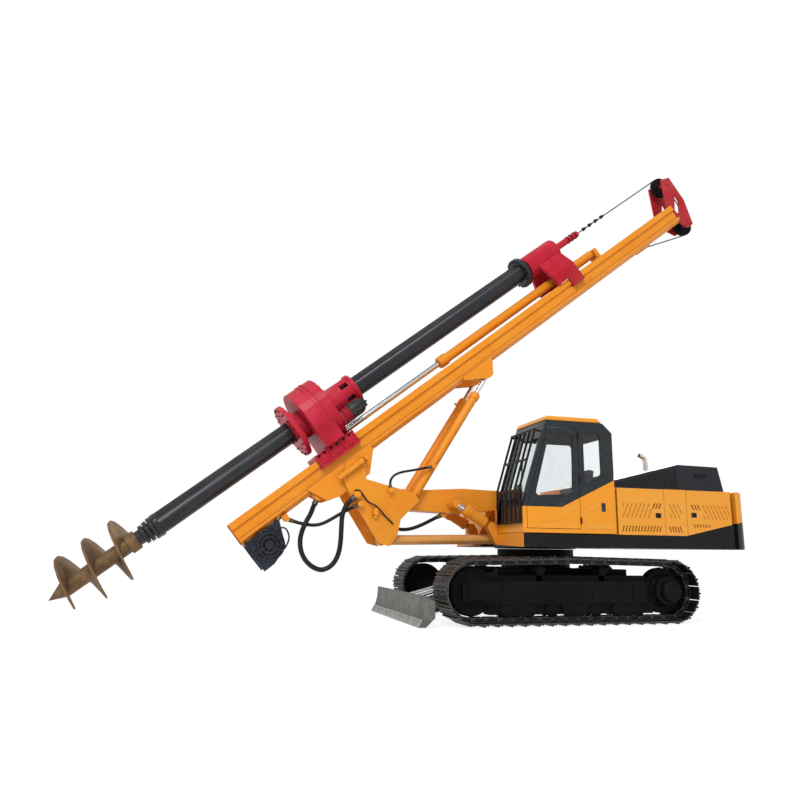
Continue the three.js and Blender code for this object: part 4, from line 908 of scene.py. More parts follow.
def make_blade():
    """The blade with a bolted cutting edge, a rolled top and ribs behind."""
    refine("dozer_blade", blade_steel, 0.005)
    low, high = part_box("dozer_blade")
    half = high.y - 0.03
    edge = [(low.x - 0.002, 0.012), (low.x + 0.016, 0.012), (low.x + 0.072, 0.115), (low.x + 0.052, 0.115)]
    heads = [(low.x + 0.034, y * half / 5.5, 0.078) for y in range(-5, 6)]
    parts = [prism(edge, -half, half), bolts(heads, (-0.87, 0, 0.48), 0.016, 0.010)]
    fit("blade_cutting_edge", parts, bright_steel, "blade", soft=0.002, segments=1)
    rib = [(-2.19, 0.10), (-2.06, 0.16), (-2.08, 0.34), (-2.20, 0.37)]
    ribs = [prism(rib, y - 0.01, y + 0.01) for y in (-1.0, -0.66, 0.66, 1.0)]
    ribs.append(across(bar(-half, half, 0.022, 16), -2.236, 0, 0.386))
    fit("blade_ribs", ribs, blade_steel, "blade", soft=0.003, segments=1)


def ram_barrel(length, radius, rod, eye):
    """A barrel along x with its cap, gland, base eye, two ports and a ring of bolts."""
    cap, gland = eye + 0.03, length - 0.11
    shell = [(cap, 0), (cap, radius * 0.92), (cap + 0.02, radius), (cap + 0.045, radius),
             (cap + 0.05, radius * 0.95), (gland - 0.005, radius * 0.95), (gland, radius + 0.010),
             (length - 0.03, radius + 0.010), (length - 0.025, radius * 0.9), (length, radius * 0.82),
             (length, rod + 0.004), (length - 0.05, rod + 0.004), (length - 0.05, 0)]
    port = [(0, 0), (0, 0.020), (0.028, 0.020), (0.028, 0.014), (0.05, 0.014), (0.05, 0)]
    parts = [lathe(shell, 40), box((0.0, -eye * 0.42, -eye * 0.62), (eye + 0.06, eye * 0.42, eye * 0.62)),
             across(bar(-eye * 0.46, eye * 0.46, eye, 32), 0, 0, 0)]
    parts += [upright(lathe(port, 12), x, 0, radius * 0.9) for x in (eye + 0.11, length - 0.15)]
    parts.append(bolts(circle_of(8, radius * 0.72, length), (1, 0, 0), 0.007, 0.008))
    return parts


def rod_profile(start, reach, rod, eye):
    """A polished bar with a shoulder in front of its eye."""
    shoulder, end = reach - eye * 0.8, reach - eye * 0.4
    return [(start, 0), (start, rod), (shoulder, rod), (shoulder, rod * 1.25), (end, rod * 1.25), (end, 0)]


def make_ram(name, side_name, colour, slot, length, radius, rod, eye, inside):
    """A hydraulic ram: its barrel, its chromed rod and the rod's painted eye."""
    base, along, reach = ram_reach(name, side_name, eye)
    aim = facing(along, base)
    parts = ram_barrel(length, radius, rod, eye)
    if (name, side_name) == ("luff_ram", "left"):
        parts.append(across(bar(-0.155, -0.052, 0.040, 24), HOSE_BOSS, 0, 0))
    barrel = finish_mesh(f"{name}_barrel_finish_{side_name}", joined(parts), colour, name + "_barrels",
                         aim)
    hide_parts(f"{name}_barrel_{side_name}")
    soften(barrel, 0.003, 1)
    polished = lathe(rod_profile(reach - inside, reach, rod, eye), 40)
    stem = finish_mesh(f"{name}_rod_finish_{side_name}", polished, rod_chrome, name + "_rods",
                       aim)
    head = across(bar(-rod - 0.003, rod + 0.003, eye, 32), reach, 0, 0)
    soften(finish_mesh(f"{name}_rod_eye_{side_name}", head, colour, name + "_rods", aim), 0.003, 1)
    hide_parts(f"{name}_rod_{side_name}")
    soften(stem, 0.002, 1)


def ram_reach(name, side_name, eye):
    """A ram's base pin, its direction and how far its rod's eye is from its base."""
    node_name = f"{name}_rod_{side_name}"
    low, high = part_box(node_name)
    pin = joint_at(name + "_swing")
    base = Vector((pin.x, (low.y + high.y) / 2, pin.z))
    along = Vector(JOINTS[name + "_stroke"]["axis"]).normalized()
    points = [vertex.co for vertex in frame["nodes"][node_name].data.vertices]
    return base, along, max((point - base).dot(along) for point in points) - eye


HOSE_BOSS = 0.600  # the left luff ram's hose boss, from its base pin
RAMS = {
    "blade_ram": {"colour": dark, "slot": "dark_steel", "length": 0.98, "radius": 0.055, "rod": 0.030,
                  "eye": 0.048, "inside": 0.95},
    "boom_ram": {"colour": orange, "slot": "orange_paint", "length": 0.50, "radius": 0.090, "rod": 0.045,
                 "eye": 0.066, "inside": 0.41},
    "luff_ram": {"colour": orange, "slot": "orange_paint", "length": 2.03, "radius": 0.070, "rod": 0.038,
                 "eye": 0.060, "inside": 1.70},
}


def make_rams():
    """Both rams of each pair."""
    for name, size in RAMS.items():
        for _, side_name in SIDES:
            make_ram(name, side_name, **size)


make_undercarriage()
make_blade()
make_rams()


# ---- Shapes cut from sheet metal ----

def cut_out(shape, tools):
    """The shape less the tools."""
    objects = []
    for name, source in (("whole", shape), ("tools", tools)):
        mesh = bpy.data.meshes.new(name)
        bmesh.ops.recalc_face_normals(source, faces=source.faces)
        source.to_mesh(mesh)
        source.free()
        objects.append(bpy.data.objects.new(name, mesh))
        bpy.context.scene.collection.objects.link(objects[-1])
    whole, tool = objects
    boolean = whole.modifiers.new("cut", "BOOLEAN")
    boolean.object = tool
    boolean.operation = "DIFFERENCE"
    boolean.solver = "EXACT"
    boolean.use_self = True
    result = whole.evaluated_get(bpy.context.evaluated_depsgraph_get()).to_mesh()
    left = bmesh.new()
    left.from_mesh(result)
    for made in objects:
        bpy.data.objects.remove(made)
    return left


def refine_cut(node_name, tools, material, width=0.004):
    """refine(), with slots or windows cut first."""
    shape = cut_out(welded_copy(node_name), tools)
    bmesh.ops.recalc_face_normals(shape, faces=shape.faces)
    return stand_in(node_name, shape, material, width, 2)


def inset(outline, margin):
    """A convex outline drawn in by a margin, or out by a negative one."""
    area = sum(a[0] * b[1] - b[0] * a[1] for a, b in zip(outline, outline[1:] + outline[:1]))
    points = list(outline) if area > 0 else list(reversed(outline))
    edges = []
    for a, b in zip(points, points[1:] + points[:1]):
        onward = Vector((b[0] - a[0], b[1] - a[1])).normalized()
        edges.append((Vector(a) + margin * Vector((-onward.y, onward.x)), onward))
    corners = []
    for (p, u), (q, v) in zip(edges[-1:] + edges[:-1], edges):
        reach = ((q.x - p.x) * v.y - (q.y - p.y) * v.x) / (u.x * v.y - u.y * v.x)
        corners.append(tuple(p + reach * u))
    return corners


def rounded(outline, radius, steps=6):
    """A convex outline with its corners turned into arcs."""
    line = []
    for before, corner, after in zip(outline[-1:] + outline[:-1], outline, outline[1:] + outline[:1]):
        here = Vector(corner)
        back = (Vector(before) - here).normalized()
        ahead = (Vector(after) - here).normalized()
        half = back.angle(ahead) / 2
        middle = here + (back + ahead).normalized() * (radius / math.sin(half))
        start = here + back * (radius / math.tan(half)) - middle
        end = here + ahead * (radius / math.tan(half)) - middle
        for i in range(steps + 1):
            line.append(tuple(middle + radius * start.slerp(end, i / steps).normalized()))
    return line


def rim(outer, inner, low, high):
    """A flat frame across y between two outlines with as many points."""
    shape = bmesh.new()
    rings = [[shape.verts.new((x, y, z)) for x, z in outline] for outline, y in
             ((outer, low), (outer, high), (inner, high), (inner, low))]
    for first, second in zip(rings, rings[1:] + rings[:1]):
        for i in range(len(first)):
            j = (i + 1) % len(first)
            shape.faces.new([first[i], first[j], second[j], second[i]])
    return shape


def pane_outline(node_name):
    """The outline in x and z of a flat CAD pane."""
    points = {(round(v.co.x, 4), round(v.co.z, 4)) for v in frame["nodes"][node_name].data.vertices}
    middle = sum((Vector(p) for p in points), Vector((0, 0))) / len(points)
    return sorted(points, key=lambda p: math.atan2(p[1] - middle.y, p[0] - middle.x))


# ---- Cab ----

CAB_SIDE = -1.35  # the left side's outer face
DIAGONAL = (-0.219, 1.638, 0.475)  # where the yellow of the cab starts to rise, its height, its slope
cab_paint = paint("cab_two_tone", (0.012, 0.017, 0.021), (0.020, 0.026, 0.030), roughness=0.30, wear=0.15,
                  dust=0.05, coat=0.2, shine=0.25, lower=YELLOW, line=DIAGONAL)


def slanted(x, z, height, lean, width):
    """A slot's outline, from its foot up, leaning by lean over its height."""
    return [(x, z), (x + width, z), (x + width + lean, z + height), (x + lean, z + height)]


def row_of_slots(start, end, count, z, height, lean, width, stagger=0.0):
    """Slots side by side through the left side's sheet."""
    shapes = []
    step = (end - start - width) / (count - 1)
    for i in range(count):
        lift = stagger if i % 2 else 0.0
        outline = slanted(start + i * step, z + lift, height, lean, width)
        shapes.append(prism(outline, CAB_SIDE - 0.03, CAB_SIDE + 0.06))
    return shapes


def louvre_field(start, end, columns, lean):
    """Three rows of short slots, the middle one half a step aside."""
    step = (end - start) / (columns - 1)
    slots = []
    for row, z in enumerate((1.518, 1.592, 1.666)):
        aside = step / 2 if row == 1 else 0.0
        slots += row_of_slots(start + aside, end + aside + 0.012, columns, z, 0.062, lean, 0.012)
    return slots


def window_seals():
    """A rubber frame around each side pane."""
    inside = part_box("inner_window")[0].y
    outside = (CAB_SIDE - 0.004, CAB_SIDE + 0.034)
    for name, body, outward, inward, span in (
        ("cab_door_glass", "cab_door", 0.016, 0.022, outside),
        ("quarter_window", "upper", 0.016, 0.022, outside),
        ("inner_window", "upper", 0.014, 0.020, (inside - 0.012, inside + 0.03)),
    ):
        outline = pane_outline(name)
        shape = rim(rounded(inset(outline, -outward), 0.03), rounded(inset(outline, inward), 0.05), *span)
        soften(finish_mesh(name + "_seal", shape, trim_rubber, body), 0.004)


def door_panels():
    """The pressed panels, handle and hinges of the cab door and the pressed panels behind it."""
    lower = [(-0.56, 1.335), (0.02, 1.335), (0.02, 1.425), (-0.29, 1.425), (-0.56, 1.395)]
    upper = [(-0.56, 1.425), (-0.30, 1.455), (0.02, 1.615), (0.02, 1.695)]
    behind_low = [(0.14, 1.335), (0.60, 1.335), (0.60, 1.42), (0.14, 1.42)]
    behind_high = [(0.14, 1.53), (0.40, 1.655), (0.40, 1.73), (0.14, 1.605)]
    for name, body, outlines in (("door_pressings", "cab_door", (lower, upper)),
                                 ("rear_pressings", "upper", (behind_low, behind_high))):
        panels = [prism(outline, CAB_SIDE - 0.005, CAB_SIDE + 0.004) for outline in outlines]
        fit(name, panels, yellow, body, soft=0.004)
    handle = [box((-0.30, CAB_SIDE - 0.008, 1.655), (-0.20, CAB_SIDE + 0.004, 1.695)),
              box((-0.285, CAB_SIDE - 0.022, 1.668), (-0.215, CAB_SIDE - 0.006, 1.684))]
    fit("door_handle", handle, plastic, "cab_door", soft=0.003)
    swing = joint_at("cab_door_swing")
    hinges = [upright(bar(-0.045, 0.045, 0.013, 12), swing.x, swing.y, z) for z in (1.45, 2.05, 2.68)]
    fit("door_hinges", hinges, black, "cab_door")


def vent_and_rail():
    """The vent behind the door and the hand rail on the cab's front post."""
    parts = [box((0.424, CAB_SIDE - 0.006, 1.588), (0.485, CAB_SIDE + 0.004, 1.712))]
    parts += [box((0.430, CAB_SIDE - 0.012, z), (0.479, CAB_SIDE - 0.004, z + 0.01))
              for z in (1.60, 1.626, 1.652, 1.678)]
    rail = [(-0.815, CAB_SIDE + 0.03, 1.72), (-0.835, CAB_SIDE - 0.012, 1.76), (-0.66, CAB_SIDE - 0.016, 2.30),
            (-0.53, CAB_SIDE - 0.012, 2.70), (-0.50, CAB_SIDE + 0.03, 2.73)]
    parts.append(tube(smooth_path(rail), 0.011))
    fit("cab_vent_and_rail", parts, plastic, "upper")


GUARD_BEND = 1.90
GUARD_SLOPE = 0.308
SCREEN_X = -0.83  # the windscreen's foot
SCREEN_BEND = 1.635  # where it starts to lean back
GUARD_BARS = 22


def front_guard_bars():
    """Close bars over the lower third of the screen guard, and its brackets."""
    low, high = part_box("front_guard")
    parts = []
    for i in range(GUARD_BARS):
        y = low.y + 0.02 + (high.y - low.y - 0.04) * i / (GUARD_BARS - 1)
        ends = [Vector((low.x + 0.01, y, low.z + rise)) for rise in (0.01, 0.48)]
        parts.append(tube(ends, 0.005, 8))
    for rise in (0.12, 0.24, 0.36, 0.48):
        z = low.z + rise
        parts.append(box((low.x + 0.004, low.y, z), (low.x + 0.016, high.y, z + 0.008)))
    for y in (low.y + 0.015, high.y - 0.015):
        for z in (low.z + 0.25, high.z - 0.05):
            screen = SCREEN_X + max(0.0, z - SCREEN_BEND) * GUARD_SLOPE
            lean = max(0.0, z - GUARD_BEND) * GUARD_SLOPE
            parts.append(box((low.x + lean + 0.02, y - 0.012, z), (screen + 0.02, y + 0.012, z + 0.03)))
    fit("guard_mesh", parts, black, "upper")


def cushion(low, high, crown):
    """A padded block that swells towards its middle."""
    steps = 10
    shape = bmesh.new()
    grid = {}
    (x0, y0, z0), (x1, y1, z1) = low, high
    for top in (0, 1):
        for i in range(steps + 1):
            for k in range(steps + 1):
                u, v = 2 * i / steps - 1, 2 * k / steps - 1
                edge = max(abs(u), abs(v)) ** 6
                pull = 1 - 0.04 * edge
                x = (x0 + x1) / 2 + u * (x1 - x0) / 2 * pull
                y = (y0 + y1) / 2 + v * (y1 - y0) / 2 * pull
                swell = crown * (1 - u * u) * (1 - v * v) - 0.35 * crown * math.exp(-12 * v * v)
                z = z1 - 0.3 * (z1 - z0) * edge + swell if top else z0
                grid[top, i, k] = shape.verts.new((x, y, z))
    for i in range(steps):
        for k in range(steps):
            for top in (0, 1):
                corners = [grid[top, i, k], grid[top, i + 1, k], grid[top, i + 1, k + 1], grid[top, i, k + 1]]
                shape.faces.new(corners if top else corners[::-1])
    border = [(i, 0) for i in range(steps)] + [(steps, k) for k in range(steps)]
    border += [(i, steps) for i in range(steps, 0, -1)] + [(0, k) for k in range(steps, 0, -1)]
    for (i, k), (m, n) in zip(border, border[1:] + border[:1]):
        shape.faces.new([grid[0, i, k], grid[0, m, n], grid[1, m, n], grid[1, i, k]])
    return shape


def fabric(name, colour):
    """Woven seat cloth."""
    material, tree, place = textured(name)
    threads = [node(tree, "TexWave", {"Vector": place, "Scale": 260.0, "Distortion": 0.6},
                    bands_direction=way).outputs["Fac"] for way in ("X", "Y")]
    weave = times(tree, threads[0], threads[1])
    worn = noise(tree, place, 9.0)
    base = mix(tree, between(tree, worn, 0.4, 0.7), colour, tuple(1.8 * part for part in colour))
    normal = node(tree, "Bump", {"Height": weave, "Strength": 0.35, "Distance": 0.001}).outputs[0]
    surface(tree, base, 0.9, normal, Metallic=0.0)
    return material


ARMREST_Y = 0.29  # from the seat's middle
CAB_FLOOR = 1.3205


def seat_pads(middle, floor):
    """The cushions and armrests, as padded cloth."""
    cloth = fabric("seat_cloth", (0.030, 0.031, 0.036))
    lean = Matrix.Rotation(math.radians(-79), 4, "Y")
    base = cushion((-0.14, -0.235, 0), (0.34, 0.235, 0.10), 0.02)
    back = cushion((-0.02, -0.225, -0.06), (0.64, 0.225, 0.05), 0.03)
    pads = {"seat_cushion": moved(base, at(0, middle, floor + 0.19)),
            "seat_back": moved(back, at(0.31, middle, floor + 0.29) @ lean)}
    for side, name in SIDES:
        armrest = cushion((-0.12, -0.055, 0), (0.30, 0.055, 0.05), 0.008)
        pads[name + "_armrest"] = moved(armrest, at(0, middle + side * ARMREST_Y, floor + 0.35))
    for name, shape in pads.items():
        pad = finish_mesh(name, shape, cloth, "upper", smooth=math.radians(60))


def seat():
    """The suspended seat with its frame, armrest boxes and control levers."""
    low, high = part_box("operator_seat")
    middle = (low.y + high.y) / 2
    floor = low.z
    under = [box((0.04, middle - 0.18, floor), (0.28, middle + 0.18, floor + 0.035)),
             box((0.06, middle - 0.15, floor + 0.035), (0.26, middle + 0.15, floor + 0.15)),
             box((-0.12, middle - 0.21, floor + 0.15), (0.34, middle + 0.21, floor + 0.19))]
    grip = [(0, 0), (0, 0.016), (0.03, 0.022), (0.08, 0.020), (0.105, 0.012), (0.11, 0)]
    for side in (-1, 1):
        y = middle + side * ARMREST_Y
        under.append(box((-0.12, y - 0.06, floor + 0.16), (0.30, y + 0.06, floor + 0.35)))
        under.append(tube([Vector((-0.06, y, floor + 0.34)), Vector((-0.055, y, floor + 0.47))], 0.012))
        under.append(upright(lathe(grip, 20), -0.054, y, floor + 0.45))
    stand = finish_mesh("seat_frame", joined(under), plastic, "upper")
    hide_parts("operator_seat")
    soften(stand, 0.006)
    seat_pads(middle, floor)


def cab_inside():
    """Floor mat, travel levers and pedals, a display and the wiper."""
    low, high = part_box("cab_shell")
    middle = (low.y + high.y) / 2
    parts = [box((-0.72, low.y + 0.06, CAB_FLOOR), (0.02, high.y - 0.06, CAB_FLOOR + 0.008))]
    for side in (-1, 1):
        y, grip_y = middle + side * 0.07, middle + side * 0.09
        lever = [(-0.52, y, CAB_FLOOR), (-0.53, y, CAB_FLOOR + 0.30), (-0.46, grip_y, CAB_FLOOR + 0.52)]
        parts.append(tube(smooth_path(lever), 0.010))
        grip = facing((0.2, 0, 1), (-0.455, grip_y, CAB_FLOOR + 0.54))
        parts.append(moved(bar(-0.05, 0.05, 0.018, 16), grip))
        pedal = [(-0.62, CAB_FLOOR + 0.02), (-0.48, CAB_FLOOR + 0.08), (-0.475, CAB_FLOOR + 0.07),
                 (-0.61, CAB_FLOOR + 0.005)]
        parts.append(prism(pedal, y - 0.045, y + 0.045))
    parts.append(box((-0.50, high.y - 0.17, 1.86), (-0.44, high.y - 0.07, 2.02)))
    parts.append(box((-0.47, high.y - 0.09, 1.62), (-0.45, high.y - 0.05, 1.90)))
    fit("cab_fittings", parts, plastic, "upper", soft=0.004, segments=1)
    wiper = [tube([Vector((-0.795, -1.15, 1.74)), Vector((-0.60, -0.92, 2.40))], 0.008),
             tube([Vector((-0.66, -0.97, 2.18)), Vector((-0.53, -0.87, 2.62))], 0.010)]
    fit("wiper", wiper, plastic, "upper")


def make_cab():
    """The cab with its panes, door, guard, seat and inside."""
    refine("cab_shell", cab_paint, 0.012, 3)
    refine("cab_door", cab_paint, 0.006, 2)
    refine("cab_roof", yellow, 0.02, 3)
    refine("front_guard", black, 0.006)
    for pane_name in ("windscreen", "quarter_window", "inner_window", "cab_door_glass"):
        refine(pane_name, cab_glass, 0.001, 1)
    window_seals()
    door_panels()
    vent_and_rail()
    front_guard_bars()
    seat()
    cab_inside()


# ---- Engine house ----

def latch(x, z):
    """A square flush latch: its plate and its paddle."""
    plate = box((x - 0.045, CAB_SIDE - 0.006, z - 0.035), (x + 0.045, CAB_SIDE + 0.004, z + 0.035))
    paddle = box((x - 0.034, CAB_SIDE - 0.014, z - 0.022), (x + 0.034, CAB_SIDE - 0.004, z + 0.016))
    return [plate, paddle]


def service_doors():
    """The two louvred doors, each with a latch and a black sheet behind its slots as painted shade."""
    front = louvre_field(0.765, 1.190, 7, 0.030)
    front += row_of_slots(1.275, 1.400, 3, 1.655, 0.08, 0.040, 0.022)
    front += row_of_slots(0.745, 1.390, 13, 1.312, 0.085, 0.030, 0.020)
    rear = row_of_slots(1.990, 2.125, 3, 1.653, 0.08, -0.040, 0.022)
    rear += louvre_field(2.190, 2.600, 7, -0.030)
    rear += row_of_slots(2.00, 2.28, 6, 1.390, 0.050, -0.024, 0.020)
    for name, cuts, plate_x, plate_z in (("service_door_front", front, 1.372, 1.555),
                                         ("service_door_rear", rear, 1.998, 1.575)):
        refine_cut(name, joined(cuts), yellow_black, 0.003)
        low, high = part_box(name)
        inner = high.y
        # Painted shade: a black sheet just inside the door darkens what shows through its slots.
        screen = box((low.x + 0.02, inner - 0.002, low.z + 0.03),
                     (high.x - 0.02, inner + 0.002, high.z - 0.03))
        finish_mesh(name + "_painted_shade_sheet", screen, black, name)
        fit(name + "_latch", latch(plate_x, plate_z), black, name, soft=0.003)


def housing():
    """The louvred rear housing, the tail and what stands inside."""
    cuts = louvre_field(1.600, 1.740, 3, -0.030)
    cuts += row_of_slots(1.575, 1.780, 5, 1.312, 0.085, -0.030, 0.020)
    refine_cut("rear_housing", joined(cuts), yellow_black, 0.010)
    # Painted shade: a black sheet inside the rear housing's slots darkens what shows through them.
    screen = box((1.51, CAB_SIDE + 0.026, 1.30), (1.85, CAB_SIDE + 0.029, 1.93))
    finish_mesh("middle_painted_shade_sheet", screen, black, "upper")
    refine("counterweight", yellow_black, 0.035, 4)
    refine("right_housing", yellow, 0.014, 3)
    refine("engine_block", winch_blue, 0.02, 2)
    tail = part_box("counterweight")[1].x
    roll = lathe([(-1.14, 0), (-1.14, 0.035), (-1.12, 0.055), (1.12, 0.055), (1.14, 0.035), (1.14, 0)], 32)
    finish_mesh("tail_roll", across(roll, tail - 0.052, 0, 1.128), black, "upper")
    right_side()


def right_side():
    """Doors, louvres drawn as black strips of painted shade, and a filler on the side away from the cab."""
    side = -CAB_SIDE
    panels = [box((start, side - 0.002, foot), (end, side + 0.006, 1.90))
              for start, end, foot in ((0.74, 1.50, 1.33), (1.90, 2.60, 1.37), (-0.60, -0.05, 1.32),
                                       (0.02, 0.58, 1.32))]
    fit("right_doors", panels, yellow, "upper", soft=0.004)
    # Painted shade: the black slanted strips stand for the dark gaps of the louvres.
    shade_strips_and_fittings = [prism(slanted(start + 0.055 * i, 1.50, 0.22, 0.05, 0.022), side, side + 0.014)
             for start in (0.86, 2.02) for i in range(9)]
    shade_strips_and_fittings += [box((x, side, 1.62), (x + 0.08, side + 0.018, 1.66)) for x in (0.76, 1.92, -0.58, 0.04)]
    filler = [(0, 0), (0, 0.055), (0.03, 0.055), (0.035, 0.045), (0.05, 0.045), (0.05, 0)]
    shade_strips_and_fittings.append(upright(lathe(filler, 24), 0.35, 1.15, 1.948))
    fit("right_fittings", shade_strips_and_fittings, black, "upper", soft=0.002, segments=1)


HOOD_SHADE_STRIPS = 26
HOOD_SLOPE = 0.25
HOOD_KNEE = 1.96  # where the hood's slope ends


def make_hood():
    """The engine hood and its hinges, with black strips on its side as painted shade: its slots, a line where
    its slope ends and a recess.
    """
    refine("engine_hood", navy, 0.03, 4)
    low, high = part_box("engine_hood")
    side = low.y
    parts = []
    # Painted shade: black strips stand for the dark slots, the line by the knee and the recess.
    for i in range(HOOD_SHADE_STRIPS):
        x = 0.86 + 0.04 * i
        top = 2.005 + (x - low.x) * HOOD_SLOPE
        if top > 1.985:
            parts.append(box((x, side - 0.006, 1.995), (x + 0.016, side + 0.004, top)))
    parts.append(box((HOOD_KNEE - 0.06, side - 0.008, 1.975),
                     (HOOD_KNEE - 0.045, side + 0.004, high.z - 0.05)))
    parts.append(box((2.25, side - 0.008, 2.17), (2.47, side + 0.004, 2.24)))
    fit("hood_shade_strips", parts, black, "engine_hood", soft=0.003, segments=1)
    hinges = [across(bar(-0.04, 0.04, 0.012, 12), low.x + 0.012, y, 2.035) for y in (-0.9, -0.3, 0.2)]
    fit("hood_hinges", hinges, black, "engine_hood")


def exhaust():
    """The silencer's pipe, hooked forward and closed at its end, where a black disc paints the shade and soot
    of its opening.
    """
    low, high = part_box("exhaust_stack")
    x = high.x - 0.045
    y = (low.y + high.y) / 2
    top = high.z - 0.05
    line = smooth_path([(x, y, low.z), (x, y, low.z + 0.15), (x, y, top - 0.14), (x - 0.03, y, top - 0.045),
                        (x - 0.12, y, top)])
    pipe = finish_mesh("exhaust_pipe", tube(line, 0.042, 24), rod_chrome, "upper")
    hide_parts("exhaust_stack")
    # Painted shade and soot: a black disc on the pipe's closed end stands for its dark mouth.
    soot_and_shade = moved(bar(-0.002, 0.002, 0.036, 24), facing(line[-1] - line[-2], line[-1]))
    finish_mesh("exhaust_mouth", soot_and_shade, black, "upper")
    collar = lathe([(0, 0), (0, 0.075), (0.015, 0.075), (0.02, 0.055), (0.05, 0.055), (0.05, 0)], 32)
    finish_mesh("exhaust_collar", upright(collar, x, y, low.z - 0.004), black, "upper")


def platform_face(place, normal):
    """Gloss black skirts and underside, and orange cheeks and front."""
    return int(abs(place.y) > 0.9 and place.x > -0.80 or place.z < 1.125)


def make_platform():
    """The platform with its skirts' bolts and seams."""
    refine_split("platform", [orange, black], platform_face)
    parts = []
    for side in (-1, 1):
        heads = [(x, side * 1.351, 1.10) for x in (-0.6, 0.08, 0.65, 1.49, 2.5)]
        parts.append(bolts(heads, (0, side, 0), 0.010, 0.008))
    for y in (CAB_SIDE, -CAB_SIDE):
        parts += [box((x, y - 0.0015, 1.075), (x + 0.004, y + 0.0015, 1.25)) for x in (0.08, 1.49)]
    fit("skirt_bolts", parts, dark, "upper")


make_cab()
service_doors()
housing()
make_hood()
exhaust()
make_platform()


# ---- Boom, mast and winch ----

link_paint = paint("link_paint", (0.62, 0.24, 0.035), (0.72, 0.38, 0.13), roughness=0.42, wear=0.2, dust=0.3,
                   coat=0.08)
crown_red = paint("crown_red", (0.36, 0.012, 0.014), (0.44, 0.04, 0.05), roughness=0.4, wear=0.3, dust=0.2,
                  coat=0.03, shine=0.12)
kelly_paint = paint("kelly_paint", (0.007, 0.009, 0.012), (0.020, 0.022, 0.026), roughness=0.36, wear=0.35,
                    dust=0.12, chip=(0.10, 0.10, 0.10), coat=0.10, shine=0.30)
motor_grey = paint("motor_grey", (0.010, 0.011, 0.012), (0.030, 0.030, 0.030), roughness=0.42, wear=0.6,
                   dust=0.3, coat=0.05)
auger_steel = worn_metal("auger_steel", (0.24, 0.145, 0.065), (0.12, 0.065, 0.030), 0.55, 0.55, rust=0.7,
                          scale=7.0)
slide_steel = worn_metal("slide_steel", (0.50, 0.27, 0.10), (0.34, 0.18, 0.07), 0.42, 0.5, rust=0.3,
                          scale=12.0)


def make_boom():
    """The boom, its lower link and the mast frame."""
    refine("boom", orange, 0.012, 3)
    refine("lower_link", link_paint, 0.008)
    refine("mast_frame", orange, 0.010, 2)


MAST_SIDE = 0.3005
CROWD_N = 0.12  # the crowd cylinder's axis, from the mast's face
SHEAVES = {"crown_sheave_front": (10.06, 0.385), "crown_sheave_rear": (9.95, -0.45)}
SHEAVE_HALF = [(0.009, 0.170), (0.020, 0.189), (0.034, 0.188), (0.033, 0.155), (0.018, 0.145), (0.018, 0.07),
               (0.035, 0.06), (0.035, 0)]


def mast_face(place, normal):
    """Bare, worn slides on the front flanges, paint elsewhere."""
    return int(normal.z > 0.7 and abs(place.y) > 0.2)


def make_mast():
    """The mast with its seams, crown head, crowd cylinder and sheaves."""
    refine_split("mast", [orange, slide_steel], mast_face, MAST)
    seams = []
    for s in (2.55, 4.95, 7.35):
        for y in (-MAST_SIDE, MAST_SIDE):
            seams.append(box((s, y - 0.0015, -0.34), (s + 0.006, y + 0.0015, -0.16)))
    fit("mast_seams", seams, orange, "mast", MAST)
    refine("crown_head", crown_red, 0.006)
    refine("crowd_barrel", orange, 0.008, 3)
    refine("crowd_rod", rod_chrome, 0.002, 1)
    glands = [ring(4.165, 4.235, 0.05, 0.092, 32), ring(4.26, 4.28, 0.05, 0.088, 32)]
    fit("crowd_gland", glands, orange, "mast", MAST @ at(0, 0, CROWD_N))
    left = [(-x, radius) for x, radius in reversed(SHEAVE_HALF)]
    for name, (s, n) in SHEAVES.items():
        wheel = across(lathe(left + SHEAVE_HALF, 56), s, 0, n)
        piece = finish_mesh(name + "_wheel", wheel, dark, name, MAST)
        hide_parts(name)


ROPE_REACH = 0.182  # from a sheave's axis to the rope's


def rope_line():
    """From the swivel over both sheaves and in through the back of the mast's head."""
    line = [(7.86, 0.575), (8.6, 0.572), (9.4, 0.567)]
    for name, start, end in (("crown_sheave_front", 90, 7), ("crown_sheave_rear", 7, -105)):
        s, n = SHEAVES[name]
        for i in range(9):
            angle = math.radians(start + (end - start) * i / 8)
            line.append((s + ROPE_REACH * math.cos(angle), n + ROPE_REACH * math.sin(angle)))
    line += [(9.45, -0.505), (8.90, -0.350)]
    return [Vector((s, 0, n)) for s, n in line]


WINCH_S = 0.29
WINCH_N = -0.57
WINCH_FACE = 0.300  # the outer face of the winch's side plates
DRUM_HALF = 0.205
WRAPS = 15
GEAR_STEPS = ((0.205, 0.225, 0.018), (0.150, 0.175, 0.040), (0.095, 0.120, 0.065))  # inner, outer, depth
GEAR_BOLTS = ((12, 0.190), (10, 0.135), (6, 0.078))  # count, radius
WINCH_FEET = ((0.05, 0.12, 0.33, -0.50), (0.46, 0.56, 0.35, -0.47))  # start, end, outer face, foot
WINCH_HOSES = (
    (0.012, [(0.51, -0.33, -0.44), (0.60, -0.35, -0.52), (0.56, -0.35, -0.66), (0.40, -0.35, -0.74),
             (0.29, -0.35, -0.63)]),
    (0.010, [(0.09, -0.32, -0.44), (0.07, -0.36, -0.56), (0.12, -0.36, -0.68), (0.29, -0.36, -0.59)]),
)


def rope_on_drum():
    """The wound rope as one grooved roll along x."""
    steps = WRAPS * 6
    wound = [(-DRUM_HALF + 2 * DRUM_HALF * i / steps, 0.153 + 0.012 * abs(math.sin(math.pi * i / 6)))
             for i in range(steps + 1)]
    return lathe([(-DRUM_HALF, 0.0), (-DRUM_HALF, 0.15)] + wound + [(DRUM_HALF, 0.15), (DRUM_HALF, 0.0)], 48)


